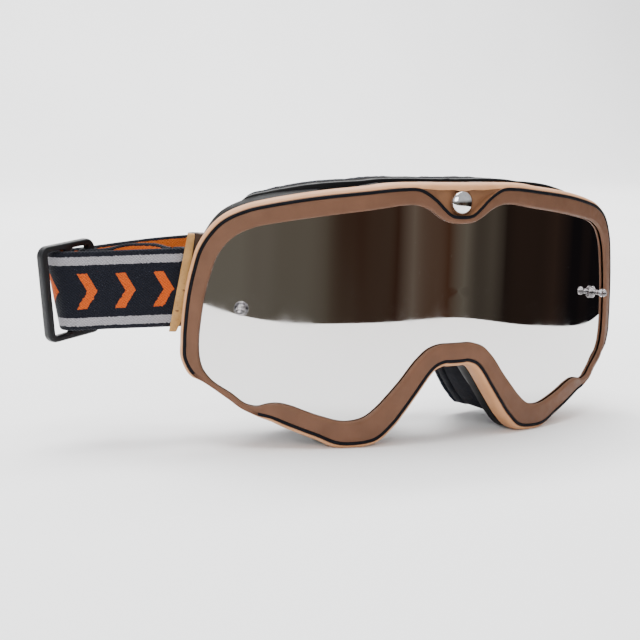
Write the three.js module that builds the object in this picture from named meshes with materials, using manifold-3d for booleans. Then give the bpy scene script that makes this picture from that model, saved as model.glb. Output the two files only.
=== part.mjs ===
// Motorcycle goggles: a one-piece moulded frame around a cylindrical mirror lens, a foam face
// seal on a rear carrier, and an elastic strap that hinges on leather tabs at both temples.
//
// All shapes are drawn in the lens frame: the lens is part of an upright cylinder whose front
// line passes through x = y = 0. A point on it is named by its arc position s (mm along the
// cylinder, + to the wearer's left), its height z, and its depth w behind the front surface.
// The exported group is then moved so that the origin is under the middle of the nose arch.
import * as THREE from 'three';
import { LoftGeometry } from 'three/addons/geometries/LoftGeometry.js';
import { mergeVertices } from 'three/addons/utils/BufferGeometryUtils.js';
import Module from 'manifold-3d';

// ---- driving dimensions (mm) ----
const LENS_RADIUS = 160;
const LENS_THICKNESS = 1.2;
const FIT_GAP = 0.35;            // clearance between pieces that touch
const LIP_PROUD = 1.6;           // the bezel stands this far in front of the lens
const STRIPE_WIDTH = 1.0;
const STRIPE_GROOVE_DEPTH = 0.8;
const WALL_THICKNESS = 2.2;
const WALL_DEPTH = 9.5;          // frame depth behind the lens front, over the brow
const TEMPLE_WALL_DEPTH = 6.5;   // and where the strap brackets sit behind it
const SHOULDER_WIDTH = 2.2;      // rounded shoulder outside the stripe
const CUTAWAY_SHOULDER = 0.8;    // the same on the thin lower corners
const BROW_HEIGHT = 49.6;        // the frame runs straight across above the lens's dip
const BROW_SHOULDER = 2.8;       // width of the shoulder above the stud recess
const RECESS_DEPTH = 0.8;        // floor of the stud recess, behind the lens front
const CARRIER_DEPTH = 3;
const SEAL_WIDTH = 8.5;
const SEAL_RISE = [1.9, 3];      // the seal stands above the brow, by more towards its corners
const SEAL_TUCK = 3.5;           // and is drawn in under the cheek lobes
const SOFT_FOAM_DEPTH = 4.5;
const FLEECE_DEPTH = 2;
const LAYER_GAP = 0.6;            // between the foam layers, which follow a twisting rim

const STUD = { z: 42.7, radius: 4.1, height: 3.4, shank: 1.2 };
const POST = { s: 77.2, z: 6.6, shank: 1.4, stem: 1.3, ball: 2.1, height: 6 };

const PIN = { x: 83.5, y: 37, radius: 1.2 };           // strap hinge pin, mirrored left and right
const STRAP_ANGLE = THREE.MathUtils.degToRad(28.2);    // left front run, from the X axis
const STRAP_WIDTH = 27;
const STRAP_THICKNESS = 1.6;
const STRAP_HEIGHT_AT_TAB = 12;                        // height of the strap's middle
const STRAP_FALL = 0.065;                              // and how it falls along the run
const LEATHER = 1.4;
const RUN_END = 38.8;                                  // front run's length from the pin
// Where the strap folds back, from the pin; the fold leans, and the strap rises behind it.
const FOLD = { along: 44, inward: 2.25, radius: 4.3, lean: 0.06, sweep: 140 };
const BACK_RISE = 4.5;
const RETURN_BOW = 1.5;          // the return strap bows up between the tab and the slider
const SLIDER = { width: 23, height: 33.4, bar: 3, rail: 2.2, turn: 49, lean: 6.5, play: 1.47 };

const BRIDGE = { y: 5, z: -14.7 };                     // under the nose arch: the part's origin
const REST_HEIGHT = -41.3;                             // both cheek lobes are flat below, to stand on

// Half of the lens aperture, from the middle of the brow round the wearer's left side to the
// nose: arc position, height, and the bezel's width from the lens edge to the middle of the
// stripe. The narrow stretch at the lower corner is where the bezel is cut away.
const APERTURE = [
  [0, 35.5, 2.2], [5, 36, 2.4], [9, 37.9, 3.1], [12.5, 40.2, 3.8], [17, 41.8, 5.1], [23, 41.8, 5.4],
  [34, 40.2, 5.9], [54, 37.5, 6.2], [73, 34, 5.9], [80.5, 30.2, 6], [85.4, 24.1, 5.7],
  [89.6, 9.8, 5], [91.3, -5, 4.5], [90.9, -11, 4.4], [89.8, -14.4, 3.2], [87.7, -17.2, 1.3],
  [80, -22.4, 1.2], [74.6, -26, 1.3], [71, -26.5, 2.5], [68, -25.7, 4.2], [64.5, -25.4, 5.3],
  [60, -26.3, 6], [50, -29.9, 6.3], [40, -32, 7.6], [34.5, -30.8, 8.5], [29.8, -27.4, 8],
  [21.7, -18.9, 6.8], [15, -11, 6.3], [11, -7.8, 6.4], [5.5, -6.3, 6.2], [3, -6.3, 6.2],
];

const { clamp, lerp, smoothstep, degToRad } = THREE.MathUtils;

// ---- finishes ----
function finish(color, roughness, metalness = 0) {
  return new THREE.MeshStandardMaterial({ color, roughness, metalness });
}
const TAN_RUBBER = finish('#b08d78', 0.6);
const NAVY_RUBBER = finish('#1d1f2e', 0.5);
const MIRROR = finish('#9a9a98', 0.05, 1);
const CLEAR_PLASTIC = finish('#d8dadc', 0.15);
const CHROME = finish('#d0d0d0', 0.08, 1);
const BLACK_PLASTIC = finish('#17171a', 0.4);
const BLACK_FOAM = finish('#1c1c20', 0.95);
const NAVY_FLEECE = finish('#1a1e2e', 1);
const BROWN_PLASTIC = finish('#3a2418', 0.6);
const STEEL = finish('#8d8d8d', 0.3, 1);
const TAN_LEATHER = finish('#c7a06e', 0.8);
const WEBBING = finish('#1c2030', 0.9);
const SILICONE = finish('#20222c', 0.5);

// ---- solids ----
const wasm = await Module();
wasm.setup();

// Merges a geometry's shared vertices and turns its faces outwards.
function closed(geometry) {
  const bare = new THREE.BufferGeometry().copy(geometry);
  for (const name of ['normal', 'uv']) bare.deleteAttribute(name);
  const merged = mergeVertices(bare, 1e-4);
  const at = merged.attributes.position;
  const corners = [new THREE.Vector3(), new THREE.Vector3(), new THREE.Vector3()];
  const kept = [];
  let volume = 0;
  for (let i = 0; i < merged.index.count; i += 3) {
    const [a, b, c] = merged.index.array.slice(i, i + 3);
    if (a === b || b === c || c === a) continue;
    kept.push(a, b, c);
    corners.forEach((corner, k) => corner.fromBufferAttribute(at, [a, b, c][k]));
    volume += corners[0].dot(corners[1].cross(corners[2]));
  }
  if (volume < 0) kept.reverse();
  merged.setIndex(kept);
  return merged;
}

function solid(geometry) {
  const shape = closed(geometry);
  return new wasm.Manifold(new wasm.Mesh({
    numProp: 3,
    vertProperties: new Float32Array(shape.attributes.position.array),
    triVerts: new Uint32Array(shape.index.array),
  }));
}

function geometryOf(manifold) {
  const mesh = manifold.getMesh();
  const geometry = new THREE.BufferGeometry();
  geometry.setAttribute('position', new THREE.BufferAttribute(mesh.vertProperties, mesh.numProp));
  geometry.setIndex(new THREE.BufferAttribute(mesh.triVerts, 1));
  return geometry;
}

function cut(geometry, ...tools) {
  return geometryOf(tools.reduce((left, tool) => left.subtract(solid(tool)), solid(geometry)));
}

function join(first, ...others) {
  return geometryOf(others.reduce((sum, other) => sum.add(solid(other)), solid(first)));
}

// Skins sections with capped ends. A section's own normal has to point along the loft.
function loft(sections) {
  const [start, next] = sections;
  const middleOf = (points) => (
    points.reduce((sum, p) => sum.add(p), new THREE.Vector3()).divideScalar(points.length)
  );
  const centre = middleOf(start);
  const normal = start.reduce((sum, p, i) => {
    const q = start[(i + 1) % start.length];
    return sum.add(p.clone().sub(centre).cross(q.clone().sub(centre)));
  }, new THREE.Vector3());
  const forward = normal.dot(middleOf(next).sub(centre)) > 0;
  const facing = forward ? sections : sections.map((points) => points.toReversed());
  return new LoftGeometry(facing, { capStart: true, capEnd: true });
}

const goggles = new THREE.Group();
goggles.position.set(0, -BRIDGE.y, -BRIDGE.z);

function piece(name, geometry, material) {
  const shape = closed(geometry);
  shape.computeVertexNormals();
  const mesh = new THREE.Mesh(shape, material);
  mesh.name = name;
  goggles.add(mesh);
  return mesh;
}

// A point at arc position s, height z and depth w, on the lens cylinder.
function onLens(s, z, w) {
  const angle = s / LENS_RADIUS;
  const radius = LENS_RADIUS - w;
  return new THREE.Vector3(radius * Math.sin(angle), LENS_RADIUS - radius * Math.cos(angle), z);
}

// Puts a shape drawn around the +Z axis (z = 0 on the lens, +z outwards) onto the lens at s, z.
function facingOut(geometry, s, z, w = 0) {
  const angle = s / LENS_RADIUS;
  const turn = new THREE.Matrix4().makeBasis(
    new THREE.Vector3(Math.cos(angle), Math.sin(angle), 0),
    new THREE.Vector3(0, 0, 1),
    new THREE.Vector3(Math.sin(angle), -Math.cos(angle), 0),
  );
  return new THREE.BufferGeometry().copy(geometry).applyMatrix4(turn.setPosition(onLens(s, z, w)));
}

// ---- the aperture as a smooth closed curve, sampled into stations ----
const STEP = 7;

function catmullRom(a, b, c, d, t) {
  const v0 = (c - a) / 2;
  const v1 = (d - b) / 2;
  return (2 * b - 2 * c + v0 + v1) * t ** 3 + (3 * c - 3 * b - 2 * v0 - v1) * t ** 2 + v0 * t + b;
}

const mirrored = APERTURE.slice(1).reverse().map(([s, z, width]) => [-s, z, width]);
const loop = [...APERTURE, ...mirrored];

const stations = loop.flatMap((here, i) => {
  const near = [-1, 0, 1, 2].map((k) => loop[(i + k + loop.length) % loop.length]);
  const gap = Math.hypot(near[2][0] - here[0], near[2][1] - here[1]);
  const parts = Math.max(1, Math.round(gap / STEP));
  return Array.from({ length: parts }, (_, k) => {
    const [s, z, width] = [0, 1, 2].map((axis) => catmullRom(...near.map((p) => p[axis]), k / parts));
    return { s, z, width };
  });
});

stations.forEach((station, i) => {
  const before = stations.at(i - 1);
  const after = stations[(i + 1) % stations.length];
  const run = Math.hypot(after.s - before.s, after.z - before.z);
  station.out = [-(after.z - before.z) / run, (after.s - before.s) / run];
  const { s, z, width, out } = station;
  const side = Math.abs(s);
  const temple = smoothstep(side, 70, 82);
  const shoulder = lerp(CUTAWAY_SHOULDER, SHOULDER_WIDTH, smoothstep(width, 1.5, 3.5));
  const brow = BROW_HEIGHT - 0.005 * Math.max(0, side - 18) ** 2;
  const underBrow = z > 30 && side < 34 ? (brow - z) / out[1] : 0;
  station.outer = Math.max(width + shoulder, underBrow);
  station.lensEdge = Math.min(2.4, 0.4 * width);
  station.groove = STRIPE_GROOVE_DEPTH * smoothstep(width, 1.4, 2);
  station.depth = lerp(WALL_DEPTH, TEMPLE_WALL_DEPTH, temple);
  const rise = smoothstep(station.z, 22, 36) * lerp(...SEAL_RISE, smoothstep(side, 20, 55));
  const edge = station.outer - 0.9;
  const tuck = SEAL_TUCK * smoothstep(-station.z, 14, 32);
  const inset = lerp(smoothstep(side, 74, 82), smoothstep(side, 77, 86), smoothstep(station.z, 10, 24));
  station.sealOut = lerp(edge + rise - tuck, -4, inset);
  station.sealIn = Math.min(lerp(edge, -4, smoothstep(side, 74, 82)) - SEAL_WIDTH, -1);
  const cheek = smoothstep(-z, 0, 30) * (1 - smoothstep(side, 45, 70));
  station.rear = 26 + 8 * cheek - 7 * smoothstep(side, 62, 86);
});

// Joins one closed section per station into a ring; section(station) gives [outward, depth] pairs.
function ring(section, from = stations) {
  const sections = from.map((station) => section(station).map(([n, w]) => {
    const [outS, outZ] = station.out;
    return onLens(station.s + n * outS, station.z + n * outZ, w);
  }));
  return sections;
}
const ringSolid = (section) => {
  const sections = ring(section);
  return new LoftGeometry([...sections, sections[0]]);
};

// ---- frame ----
function frameSection({ width, outer, lensEdge, groove, depth }) {
  const lip = -LIP_PROUD;
  const half = STRIPE_WIDTH / 2 + FIT_GAP;
  const recessStart = width + half;
  const shoulderStart = Math.max(recessStart + 0.25, outer - BROW_SHOULDER);
  const recess = lerp(lip + 0.3, RECESS_DEPTH, smoothstep(shoulderStart - recessStart, 0.4, 3));
  const inner = Math.max(0.3, outer - WALL_THICKNESS, 0.1);
  const grooveEnd = lensEdge + FIT_GAP;
  return [
    [0, -FIT_GAP],
    [0, lip + 0.5],
    [0.5, lip],
    [width - half, lip],
    [width - half, lip + groove],
    [recessStart, lip + groove],
    [recessStart, lip + 0.05],
    [recessStart + 0.08, recess],
    [shoulderStart - 0.08, recess],
    [shoulderStart, lip + 0.35],
    [lerp(shoulderStart, outer, 0.7), lip + 1.2],
    [outer, 1.4],
    [outer, depth],
    [inner, depth],
    [inner, 3.8],
    [0.1, 3.3],
    [0.1, LENS_THICKNESS + FIT_GAP],
    [grooveEnd, LENS_THICKNESS + FIT_GAP],
    [grooveEnd, -FIT_GAP],
  ];
}

const VENT = { width: 15, height: 3.6, count: 5, pitch: 22, w: 6.9 };
const vents = Array.from({ length: VENT.count }, (_, i) => {
  const s = (i - (VENT.count - 1) / 2) * VENT.pitch;
  const slot = new THREE.BoxGeometry(VENT.width, 14, VENT.height);
  return facingOut(slot, s, BROW_HEIGHT - 1, VENT.w);
});
const drill = (radius, length) => new THREE.CylinderGeometry(radius, radius, length, 16).rotateX(Math.PI / 2);
const studHole = facingOut(drill(STUD.shank + FIT_GAP, 12), 0, STUD.z, 0);
const underLobes = new THREE.BoxGeometry(200, 60, 10).translate(0, 20, REST_HEIGHT - 5);
piece('frame', cut(ringSolid(frameSection), studHole, underLobes, ...vents), TAN_RUBBER);

// ---- stripes inlaid in the bezel, one over the brow and one under the nose ----
function stripeSection({ width, groove }) {
  const half = STRIPE_WIDTH / 2;
  const back = -LIP_PROUD + groove - FIT_GAP;
  return [
    [width - half, back],
    [width - half, -LIP_PROUD - 0.15],
    [width + half, -LIP_PROUD - 0.15],
    [width + half, back],
  ];
}
const striped = (station) => station.width >= 2.15;
const first = stations.findIndex((station) => !striped(station));
const turned = [...stations.slice(first), ...stations.slice(0, first)];
const runs = [];
turned.forEach((station, i) => {
  if (!striped(station)) return;
  if (!striped(turned.at(i - 1))) runs.push([]);
  runs.at(-1).push(station);
});
for (const run of runs) {
  const name = run.some((station) => station.z > 0) ? 'brow_stripe' : 'nose_stripe';
  piece(name, loft(ring(stripeSection, run)), NAVY_RUBBER);
}

// ---- lens ----
const LENS_CENTRE = [0, 12];
const LENS_RINGS = [0, 0.25, 0.45, 0.65, 0.83, 1];
function lensRing(share, w) {
  return stations.map(({ s, z, out, lensEdge }) => {
    const edge = [s + out[0] * lensEdge, z + out[1] * lensEdge];
    return onLens(lerp(LENS_CENTRE[0], edge[0], share), lerp(LENS_CENTRE[1], edge[1], share), w);
  });
}
const lensSkin = [
  ...LENS_RINGS.map((share) => lensRing(share, 0)),
  ...LENS_RINGS.toReversed().map((share) => lensRing(share, LENS_THICKNESS)),
];
const postHoles = [-1, 1].map((side) => facingOut(drill(POST.shank + FIT_GAP, 8), side * POST.s, POST.z));
piece('lens', cut(new LoftGeometry(lensSkin), ...postHoles), MIRROR);

// ---- tear-off posts, held by a washer behind the lens ----
const lathe = (profile, parts = 14) => {
  const points = profile.map(([r, h]) => new THREE.Vector2(r, h));
  return new THREE.LatheGeometry(points, parts).rotateX(Math.PI / 2);
};
function ballArc(radius, height, count, from = -60) {
  return Array.from({ length: count }, (_, i) => {
    const angle = degToRad(lerp(from, 90, i / (count - 1)));
    return [Math.max(0, radius * Math.cos(angle)), height + radius * Math.sin(angle)];
  });
}
const postShape = lathe([
  [0, -LENS_THICKNESS - 1.2],
  [POST.shank, -LENS_THICKNESS - 1.2],
  [POST.shank, FIT_GAP],
  [3, FIT_GAP],
  [2.6, 1.1],
  [POST.stem, 1.5],
  [POST.stem, POST.height - 2 * POST.ball],
  ...ballArc(POST.ball, POST.height - POST.ball + 0.8, 5),
]);
const washerShape = lathe([
  [POST.shank + FIT_GAP, -LENS_THICKNESS - 1.2],
  [3.2, -LENS_THICKNESS - 1.2],
  [3.2, -LENS_THICKNESS - FIT_GAP],
  [POST.shank + FIT_GAP, -LENS_THICKNESS - FIT_GAP],
  [POST.shank + FIT_GAP, -LENS_THICKNESS - 1.2],
]);
for (const [name, side] of [['right', -1], ['left', 1]]) {
  piece(`${name}_tearoff_post`, facingOut(postShape, side * POST.s, POST.z), CLEAR_PLASTIC);
  piece(`${name}_post_washer`, facingOut(washerShape, side * POST.s, POST.z), BLACK_PLASTIC);
}

// ---- dome stud in the brow recess, and the cap pressed on behind ----
const floor = -RECESS_DEPTH;
const capFront = -3.8 - FIT_GAP;
const studShape = lathe([
  [0, capFront - 1],
  [STUD.shank, capFront - 1],
  [STUD.shank, floor + FIT_GAP],
  [STUD.radius, floor + FIT_GAP],
  [STUD.radius, floor + 0.9],
  [STUD.radius * 0.86, floor + 0.7 * STUD.height],
  [STUD.radius * 0.5, floor + 1.12 * STUD.height],
  [0, floor + 1.28 * STUD.height],
]);
const studCapShape = lathe([
  [STUD.shank + FIT_GAP, capFront - 1.2],
  [3, capFront - 1.2],
  [3, capFront],
  [STUD.shank + FIT_GAP, capFront],
  [STUD.shank + FIT_GAP, capFront - 1.2],
]);
piece('brow_stud', facingOut(studShape, 0, STUD.z), CHROME);
piece('brow_stud_cap', facingOut(studCapShape, 0, STUD.z), BLACK_PLASTIC);

// ---- rear carrier and the three layers of the face seal ----
// Neighbouring layers list their corners in opposite orders, so that their facing quads are
// split along the same diagonal and stay parallel.
function sealSection({ sealIn, sealOut }, front, back, odd) {
  const corners = [[sealOut, front], [sealOut, back], [sealIn, back], [sealIn, front]];
  return odd ? corners.reverse() : corners;
}
const carrierBack = (station) => station.depth + FIT_GAP + CARRIER_DEPTH;
const softFront = (station) => station.rear - FLEECE_DEPTH - SOFT_FOAM_DEPTH;
const fleeceFront = (station) => station.rear - FLEECE_DEPTH;
const sealLayers = [
  ['foam_carrier', BLACK_PLASTIC, (it) => it.depth + FIT_GAP, carrierBack],
  ['base_foam', BLACK_FOAM, (it) => carrierBack(it) + LAYER_GAP, softFront],
  ['soft_foam', BLACK_FOAM, (it) => softFront(it) + LAYER_GAP, fleeceFront],
  ['fleece_lining', NAVY_FLEECE, (it) => fleeceFront(it) + LAYER_GAP, (it) => it.rear],
];
sealLayers.forEach(([name, material, front, back], i) => {
  piece(name, ringSolid((it) => sealSection(it, front(it), back(it), i % 2 === 1)), material);
});

// ---- foam strip inside the brow, behind its vents ----
const VENT_FOAM = { thickness: 1.2, front: 4.4, back: 9 };
const overBrow = ({ s, z }) => z > 30 && Math.abs(s) < 62;
const brow = turned.filter(overBrow);
function ventFoamSection({ outer }) {
  const top = outer - WALL_THICKNESS - FIT_GAP;
  return [
    [top, VENT_FOAM.front],
    [top, VENT_FOAM.back],
    [top - VENT_FOAM.thickness, VENT_FOAM.back],
    [top - VENT_FOAM.thickness, VENT_FOAM.front],
  ];
}
piece('brow_vent_foam', loft(ring(ventFoamSection, brow)), BLACK_FOAM);

// ---- strap side: everything is placed from the hinge pin by (along, inward, height) ----
// along runs from the pin down the strap, and inward points to the side that touches the head.
const sides = [
  { name: 'right', side: -1, angle: Math.PI - STRAP_ANGLE, slack: 9, reach: 5.6 },
  { name: 'left', side: 1, angle: null, slack: 0, reach: -0.6 },
];
const foldLag = Math.atan2(FOLD.inward, FOLD.along);
// The folded strap's runs are the opposite bars of a parallelogram, so both folds lie on one line.
sides[1].angle = Math.PI - STRAP_ANGLE - 2 * foldLag;

function placer({ side, angle }) {
  const hand = side; // which way inward lies from along
  const along = new THREE.Vector2(Math.cos(angle), Math.sin(angle));
  const inward = new THREE.Vector2(-hand * along.y, hand * along.x);
  return (a, b, z) => new THREE.Vector3(
    side * PIN.x + a * along.x + b * inward.x,
    PIN.y + a * along.y + b * inward.y,
    z,
  );
}

// A smooth level curve through [x, y] points.
function levelCurve(path) {
  return new THREE.CatmullRomCurve3(path.map(([x, y]) => new THREE.Vector3(x, y, 0)), false, 'centripetal');
}

// A band of constant thickness along a path of [along, inward] points. edges(t, a) gives its
// lower and upper edge heights, and lean(t) how far its points move per mm of height.
function band(place, path, thickness, edges, steps, lean = () => [0, 0]) {
  const curve = levelCurve(path);
  const sections = Array.from({ length: steps + 1 }, (_, i) => {
    const t = i / steps;
    const at = curve.getPointAt(t);
    const tangent = curve.getTangentAt(t);
    const normal = [-tangent.y * thickness / 2, tangent.x * thickness / 2];
    const [low, high] = edges(t, at.x);
    const shift = lean(t);
    return [[1, low], [-1, low], [-1, high], [1, high]].map(([k, z]) => {
      const rise = z - (low + high) / 2;
      return place(at.x + k * normal[0] + rise * shift[0], at.y + k * normal[1] + rise * shift[1], z);
    });
  });
  return loft(sections);
}

const middle = (along) => STRAP_HEIGHT_AT_TAB - STRAP_FALL * Math.max(0, along - 4);
const strapEdges = (t, along) => [middle(along) - STRAP_WIDTH / 2, middle(along) + STRAP_WIDTH / 2];

// The slider's three bars, drawn flat: bar 0 lies in front of the strap, bars 1 and 2 behind.
// On the right, bar 0 stands beyond the fold; on the left the strap runs on past it.
const lineOffset = -(STRAP_THICKNESS / 2 + 1.25);      // the front run's middle, from the pin
const barPitch = (SLIDER.width - SLIDER.bar) / 2;
const sliderTurn = degToRad(SLIDER.turn);
const barAt = (k, reach) => [
  FOLD.along + reach - k * barPitch * Math.cos(sliderTurn),
  lineOffset - STRAP_THICKNESS / 2 - SLIDER.play - SLIDER.bar / 2 + k * barPitch * Math.sin(sliderTurn),
];

function roundedRectangle(shape, width, height, radius) {
  const [x, y] = [width / 2, height / 2];
  shape.absarc(x - radius, y - radius, radius, 0, Math.PI / 2);
  shape.absarc(-x + radius, y - radius, radius, Math.PI / 2, Math.PI);
  shape.absarc(-x + radius, -y + radius, radius, Math.PI, Math.PI * 1.5);
  shape.absarc(x - radius, -y + radius, radius, Math.PI * 1.5, Math.PI * 2);
  shape.closePath();
  return shape;
}

function sliderShape(place, reach) {
  const plate = roundedRectangle(new THREE.Shape(), SLIDER.width, SLIDER.height, 3.5);
  const slot = barPitch - SLIDER.bar;
  for (const side of [-1, 1]) {
    const hole = roundedRectangle(new THREE.Path(), slot, SLIDER.height - 2 * SLIDER.rail, 0.8);
    const points = hole.getPoints(2).map((p) => new THREE.Vector2(p.x + side * (slot + SLIDER.bar) / 2, p.y));
    plate.holes.push(new THREE.Path(points.reverse()));
  }
  const flat = new THREE.ExtrudeGeometry(plate, {
    depth: SLIDER.bar - 1,
    bevelThickness: 0.5,
    bevelSize: 0.5,
    bevelOffset: -0.5,
    bevelSegments: 1,
    curveSegments: 2,
  }).translate(0, 0, (1 - SLIDER.bar) / 2).rotateZ(degToRad(SLIDER.lean));
  const centre = barAt(1, reach);
  const at = flat.attributes.position;
  const dir = [-Math.cos(sliderTurn), Math.sin(sliderTurn)];
  for (let i = 0; i < at.count; i++) {
    const [x, y, z] = [at.getX(i), at.getY(i), at.getZ(i)];
    const [a, b] = [centre[0] + x * dir[0] + z * dir[1], centre[1] + x * dir[1] - z * dir[0]];
    const spot = place(a, b, middle(centre[0]) + y);
    at.setXYZ(i, spot.x, spot.y, spot.z);
  }
  return flat;
}

// The leather tab: a strip looped round the hinge pin, whose two leaves hold the strap's end.
// Its outer edge is taller than its neck and leans with the frame's side.
const TAB = { reach: 5.3, leaf: 3.9, neck: [2.2, 20.8], wide: [-3.2, 30.6], lean: 0.18, loop: 2.2 };
function tabSolid(place) {
  const path = [
    [TAB.reach, -TAB.leaf], [3, -TAB.leaf + 0.05], [1.2, -3.3], [-0.5, -TAB.loop], [-TAB.loop, 0],
    [-0.5, TAB.loop], [1.2, 3.3], [3, TAB.leaf - 0.05], [TAB.reach, TAB.leaf],
  ];
  const curve = levelCurve(path);
  const count = 32;
  const sections = Array.from({ length: count + 1 }, (_, i) => {
    const t = i / count;
    const at = curve.getPointAt(t);
    const tangent = curve.getTangentAt(t);
    const normal = [-tangent.y * LEATHER / 2, tangent.x * LEATHER / 2];
    const flare = t < 0.5 ? smoothstep(at.x, 1.9, 3) : 0;
    const low = lerp(TAB.neck[0], TAB.wide[0], flare);
    const high = lerp(TAB.neck[1], TAB.wide[1], flare);
    const lean = TAB.lean * smoothstep(at.x, 0, 3);
    return [[1, low], [-1, low], [-1, high], [1, high]].map(([k, z]) => (
      place(at.x + k * normal[0] - lean * (z - STRAP_HEIGHT_AT_TAB), at.y + k * normal[1], z)
    ));
  });
  return loft(sections);
}

const barLean = Math.tan(degToRad(SLIDER.lean));
const leanOfBars = [barLean * Math.cos(sliderTurn), -barLean * Math.sin(sliderTurn)];
const SEWN_RADIUS = SLIDER.bar / 2 + 0.5 + STRAP_THICKNESS / 2;

for (const it of sides) {
  const place = placer(it);
  const inner = -lineOffset;
  const [endAlong, endInward] = barAt(2, it.reach);
  const around = (degrees, radius = SEWN_RADIUS) => [
    endAlong + radius * Math.cos(degToRad(degrees)),
    endInward + radius * Math.sin(degToRad(degrees)),
  ];

  piece(`${it.name}_leather_tab`, tabSolid(place), TAN_LEATHER);
  piece(`${it.name}_front_strap`, band(place, [
    [RUN_END, lineOffset], [30, lineOffset], [20, lineOffset], [8, lineOffset], [5.6, lineOffset],
    [4.1, lineOffset + 0.6], [3.55, 0], [4.1, inner - 0.6], [5.6, inner], [7.6, inner],
  ], STRAP_THICKNESS, strapEdges, 28), WEBBING);
  const returnPath = [
    [8.2, inner],
    [13, inner + 0.5 + 0.35 * it.slack],
    [20, inner + 1.6 + 0.6 * it.slack],
    ...(it.slack ? [[27, inner + 3.2 + 0.5 * it.slack]] : []),
    [endAlong - 4, endInward - SEWN_RADIUS + 0.1],
    around(-90),
    around(-35),
    around(20),
    around(80),
    around(135, SEWN_RADIUS + 0.3),
  ];
  const followBars = (t) => leanOfBars.map((k) => k * smoothstep(t, 0.45, 0.75));
  const bowed = (t, along) => {
    const bow = RETURN_BOW * smoothstep(t, 0.02, 0.3) * (1 - smoothstep(t, 0.4, 0.62));
    return strapEdges(t, along).map((z) => z + bow);
  };
  const returning = band(place, returnPath, STRAP_THICKNESS, bowed, 36, followBars);
  piece(`${it.name}_return_strap`, returning, WEBBING);
  piece(`${it.name}_slider`, sliderShape(place, it.reach), BLACK_PLASTIC);
}

// ---- brackets behind the frame's sides, each with two ears that carry a hinge pin ----
const BRACKET = { low: -3.5, high: 30.5, ear: 2.4, from: 88.4, to: 94.5, back: 9.5 };
const BRACKET_FRONT = TEMPLE_WALL_DEPTH + FIT_GAP;
const NECK_ROOM = [TAB.neck[0] - 0.6, TAB.neck[1] + 0.6];
const extrude = (points, low, high) => new THREE.ExtrudeGeometry(
  new THREE.Shape(points.map((p) => new THREE.Vector2(p.x, p.y))),
  { depth: high - low, bevelEnabled: false },
).translate(0, 0, low);

for (const it of sides) {
  const { name, side } = it;
  const place = placer({ side, angle: side > 0 ? STRAP_ANGLE : Math.PI - STRAP_ANGLE });
  const base = [
    onLens(side * BRACKET.to, 0, BRACKET_FRONT),
    onLens(side * BRACKET.from, 0, BRACKET_FRONT),
    onLens(side * BRACKET.from, 0, BRACKET.back),
    place(-3.4, -1.9, 0),
  ];
  const earRound = Array.from({ length: 9 }, (_, i) => {
    const angle = lerp(-Math.PI / 2, Math.PI / 2, i / 8);
    return place(BRACKET.ear * Math.cos(angle), BRACKET.ear * Math.sin(angle), 0);
  });
  const ear = [
    onLens(side * (BRACKET.from + 2.6), 0, (BRACKET_FRONT + BRACKET.back) / 2),
    ...earRound,
    place(-3.6, 1.7, 0),
    onLens(side * BRACKET.from, 0, BRACKET.back),
  ];
  const body = join(
    extrude(base, BRACKET.low, BRACKET.high),
    extrude(ear, BRACKET.low, NECK_ROOM[0]),
    extrude(ear, NECK_ROOM[1], BRACKET.high),
  );
  const pin = (radius, low, high) => new THREE.CylinderGeometry(radius, radius, high - low, 20)
    .rotateX(Math.PI / 2)
    .translate(side * PIN.x, PIN.y, (low + high) / 2);
  const hole = pin(PIN.radius + FIT_GAP, BRACKET.low - 1, BRACKET.high + 1);
  piece(`${name}_strap_bracket`, cut(body, hole), BROWN_PLASTIC);
  piece(`${name}_hinge_pin`, pin(PIN.radius, BRACKET.low + 0.2, BRACKET.high - 0.2), STEEL);
}

// ---- back strap, from the fold at the right slider to the fold at the left one ----
const right = placer(sides[0]);
const left = placer(sides[1]);
const flat = (v) => [v.x, v.y];
const foldArc = Array.from({ length: 7 }, (_, i) => {
  const angle = -Math.PI / 2 + degToRad(FOLD.sweep) * i / 6;
  const [a, b] = [FOLD.along + FOLD.radius * Math.cos(angle), FOLD.inward + FOLD.radius * Math.sin(angle)];
  return flat(right(a, b, 0));
});
const behindSlider = [[41.6, 11.7], [37, 15.6], [31, 19], [20, 22.8], [9, 26]];
const joinLeft = flat(left(FOLD.along + 0.4, lineOffset, 0));
const backPath = [
  ...foldArc,
  ...behindSlider.map(([a, b]) => flat(right(a, b, 0))),
  [-40, 65],
  [0, 65.2],
  [joinLeft[0] - 12, joinLeft[1] + 0.1],
  joinLeft,
];
const world = (x, y, z) => new THREE.Vector3(x, y, z);
const foldX = right(FOLD.along, 0, 0).x;
const risen = (x) => smoothstep(x, foldX, foldX + 44) * (1 - smoothstep(x, -20, joinLeft[0]));
const backMiddle = (x) => middle(FOLD.along) + BACK_RISE * risen(x);
const backEdges = (t, x) => [backMiddle(x) - STRAP_WIDTH / 2, backMiddle(x) + STRAP_WIDTH / 2];
const alongRight = right(1, 0, 0).sub(right(0, 0, 0));
const foldLean = (t) => flat(alongRight).map((k) => k * FOLD.lean * (1 - smoothstep(t, 0.04, 0.14)));
piece('back_strap', band(world, backPath, STRAP_THICKNESS, backEdges, 60, foldLean), WEBBING);

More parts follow.
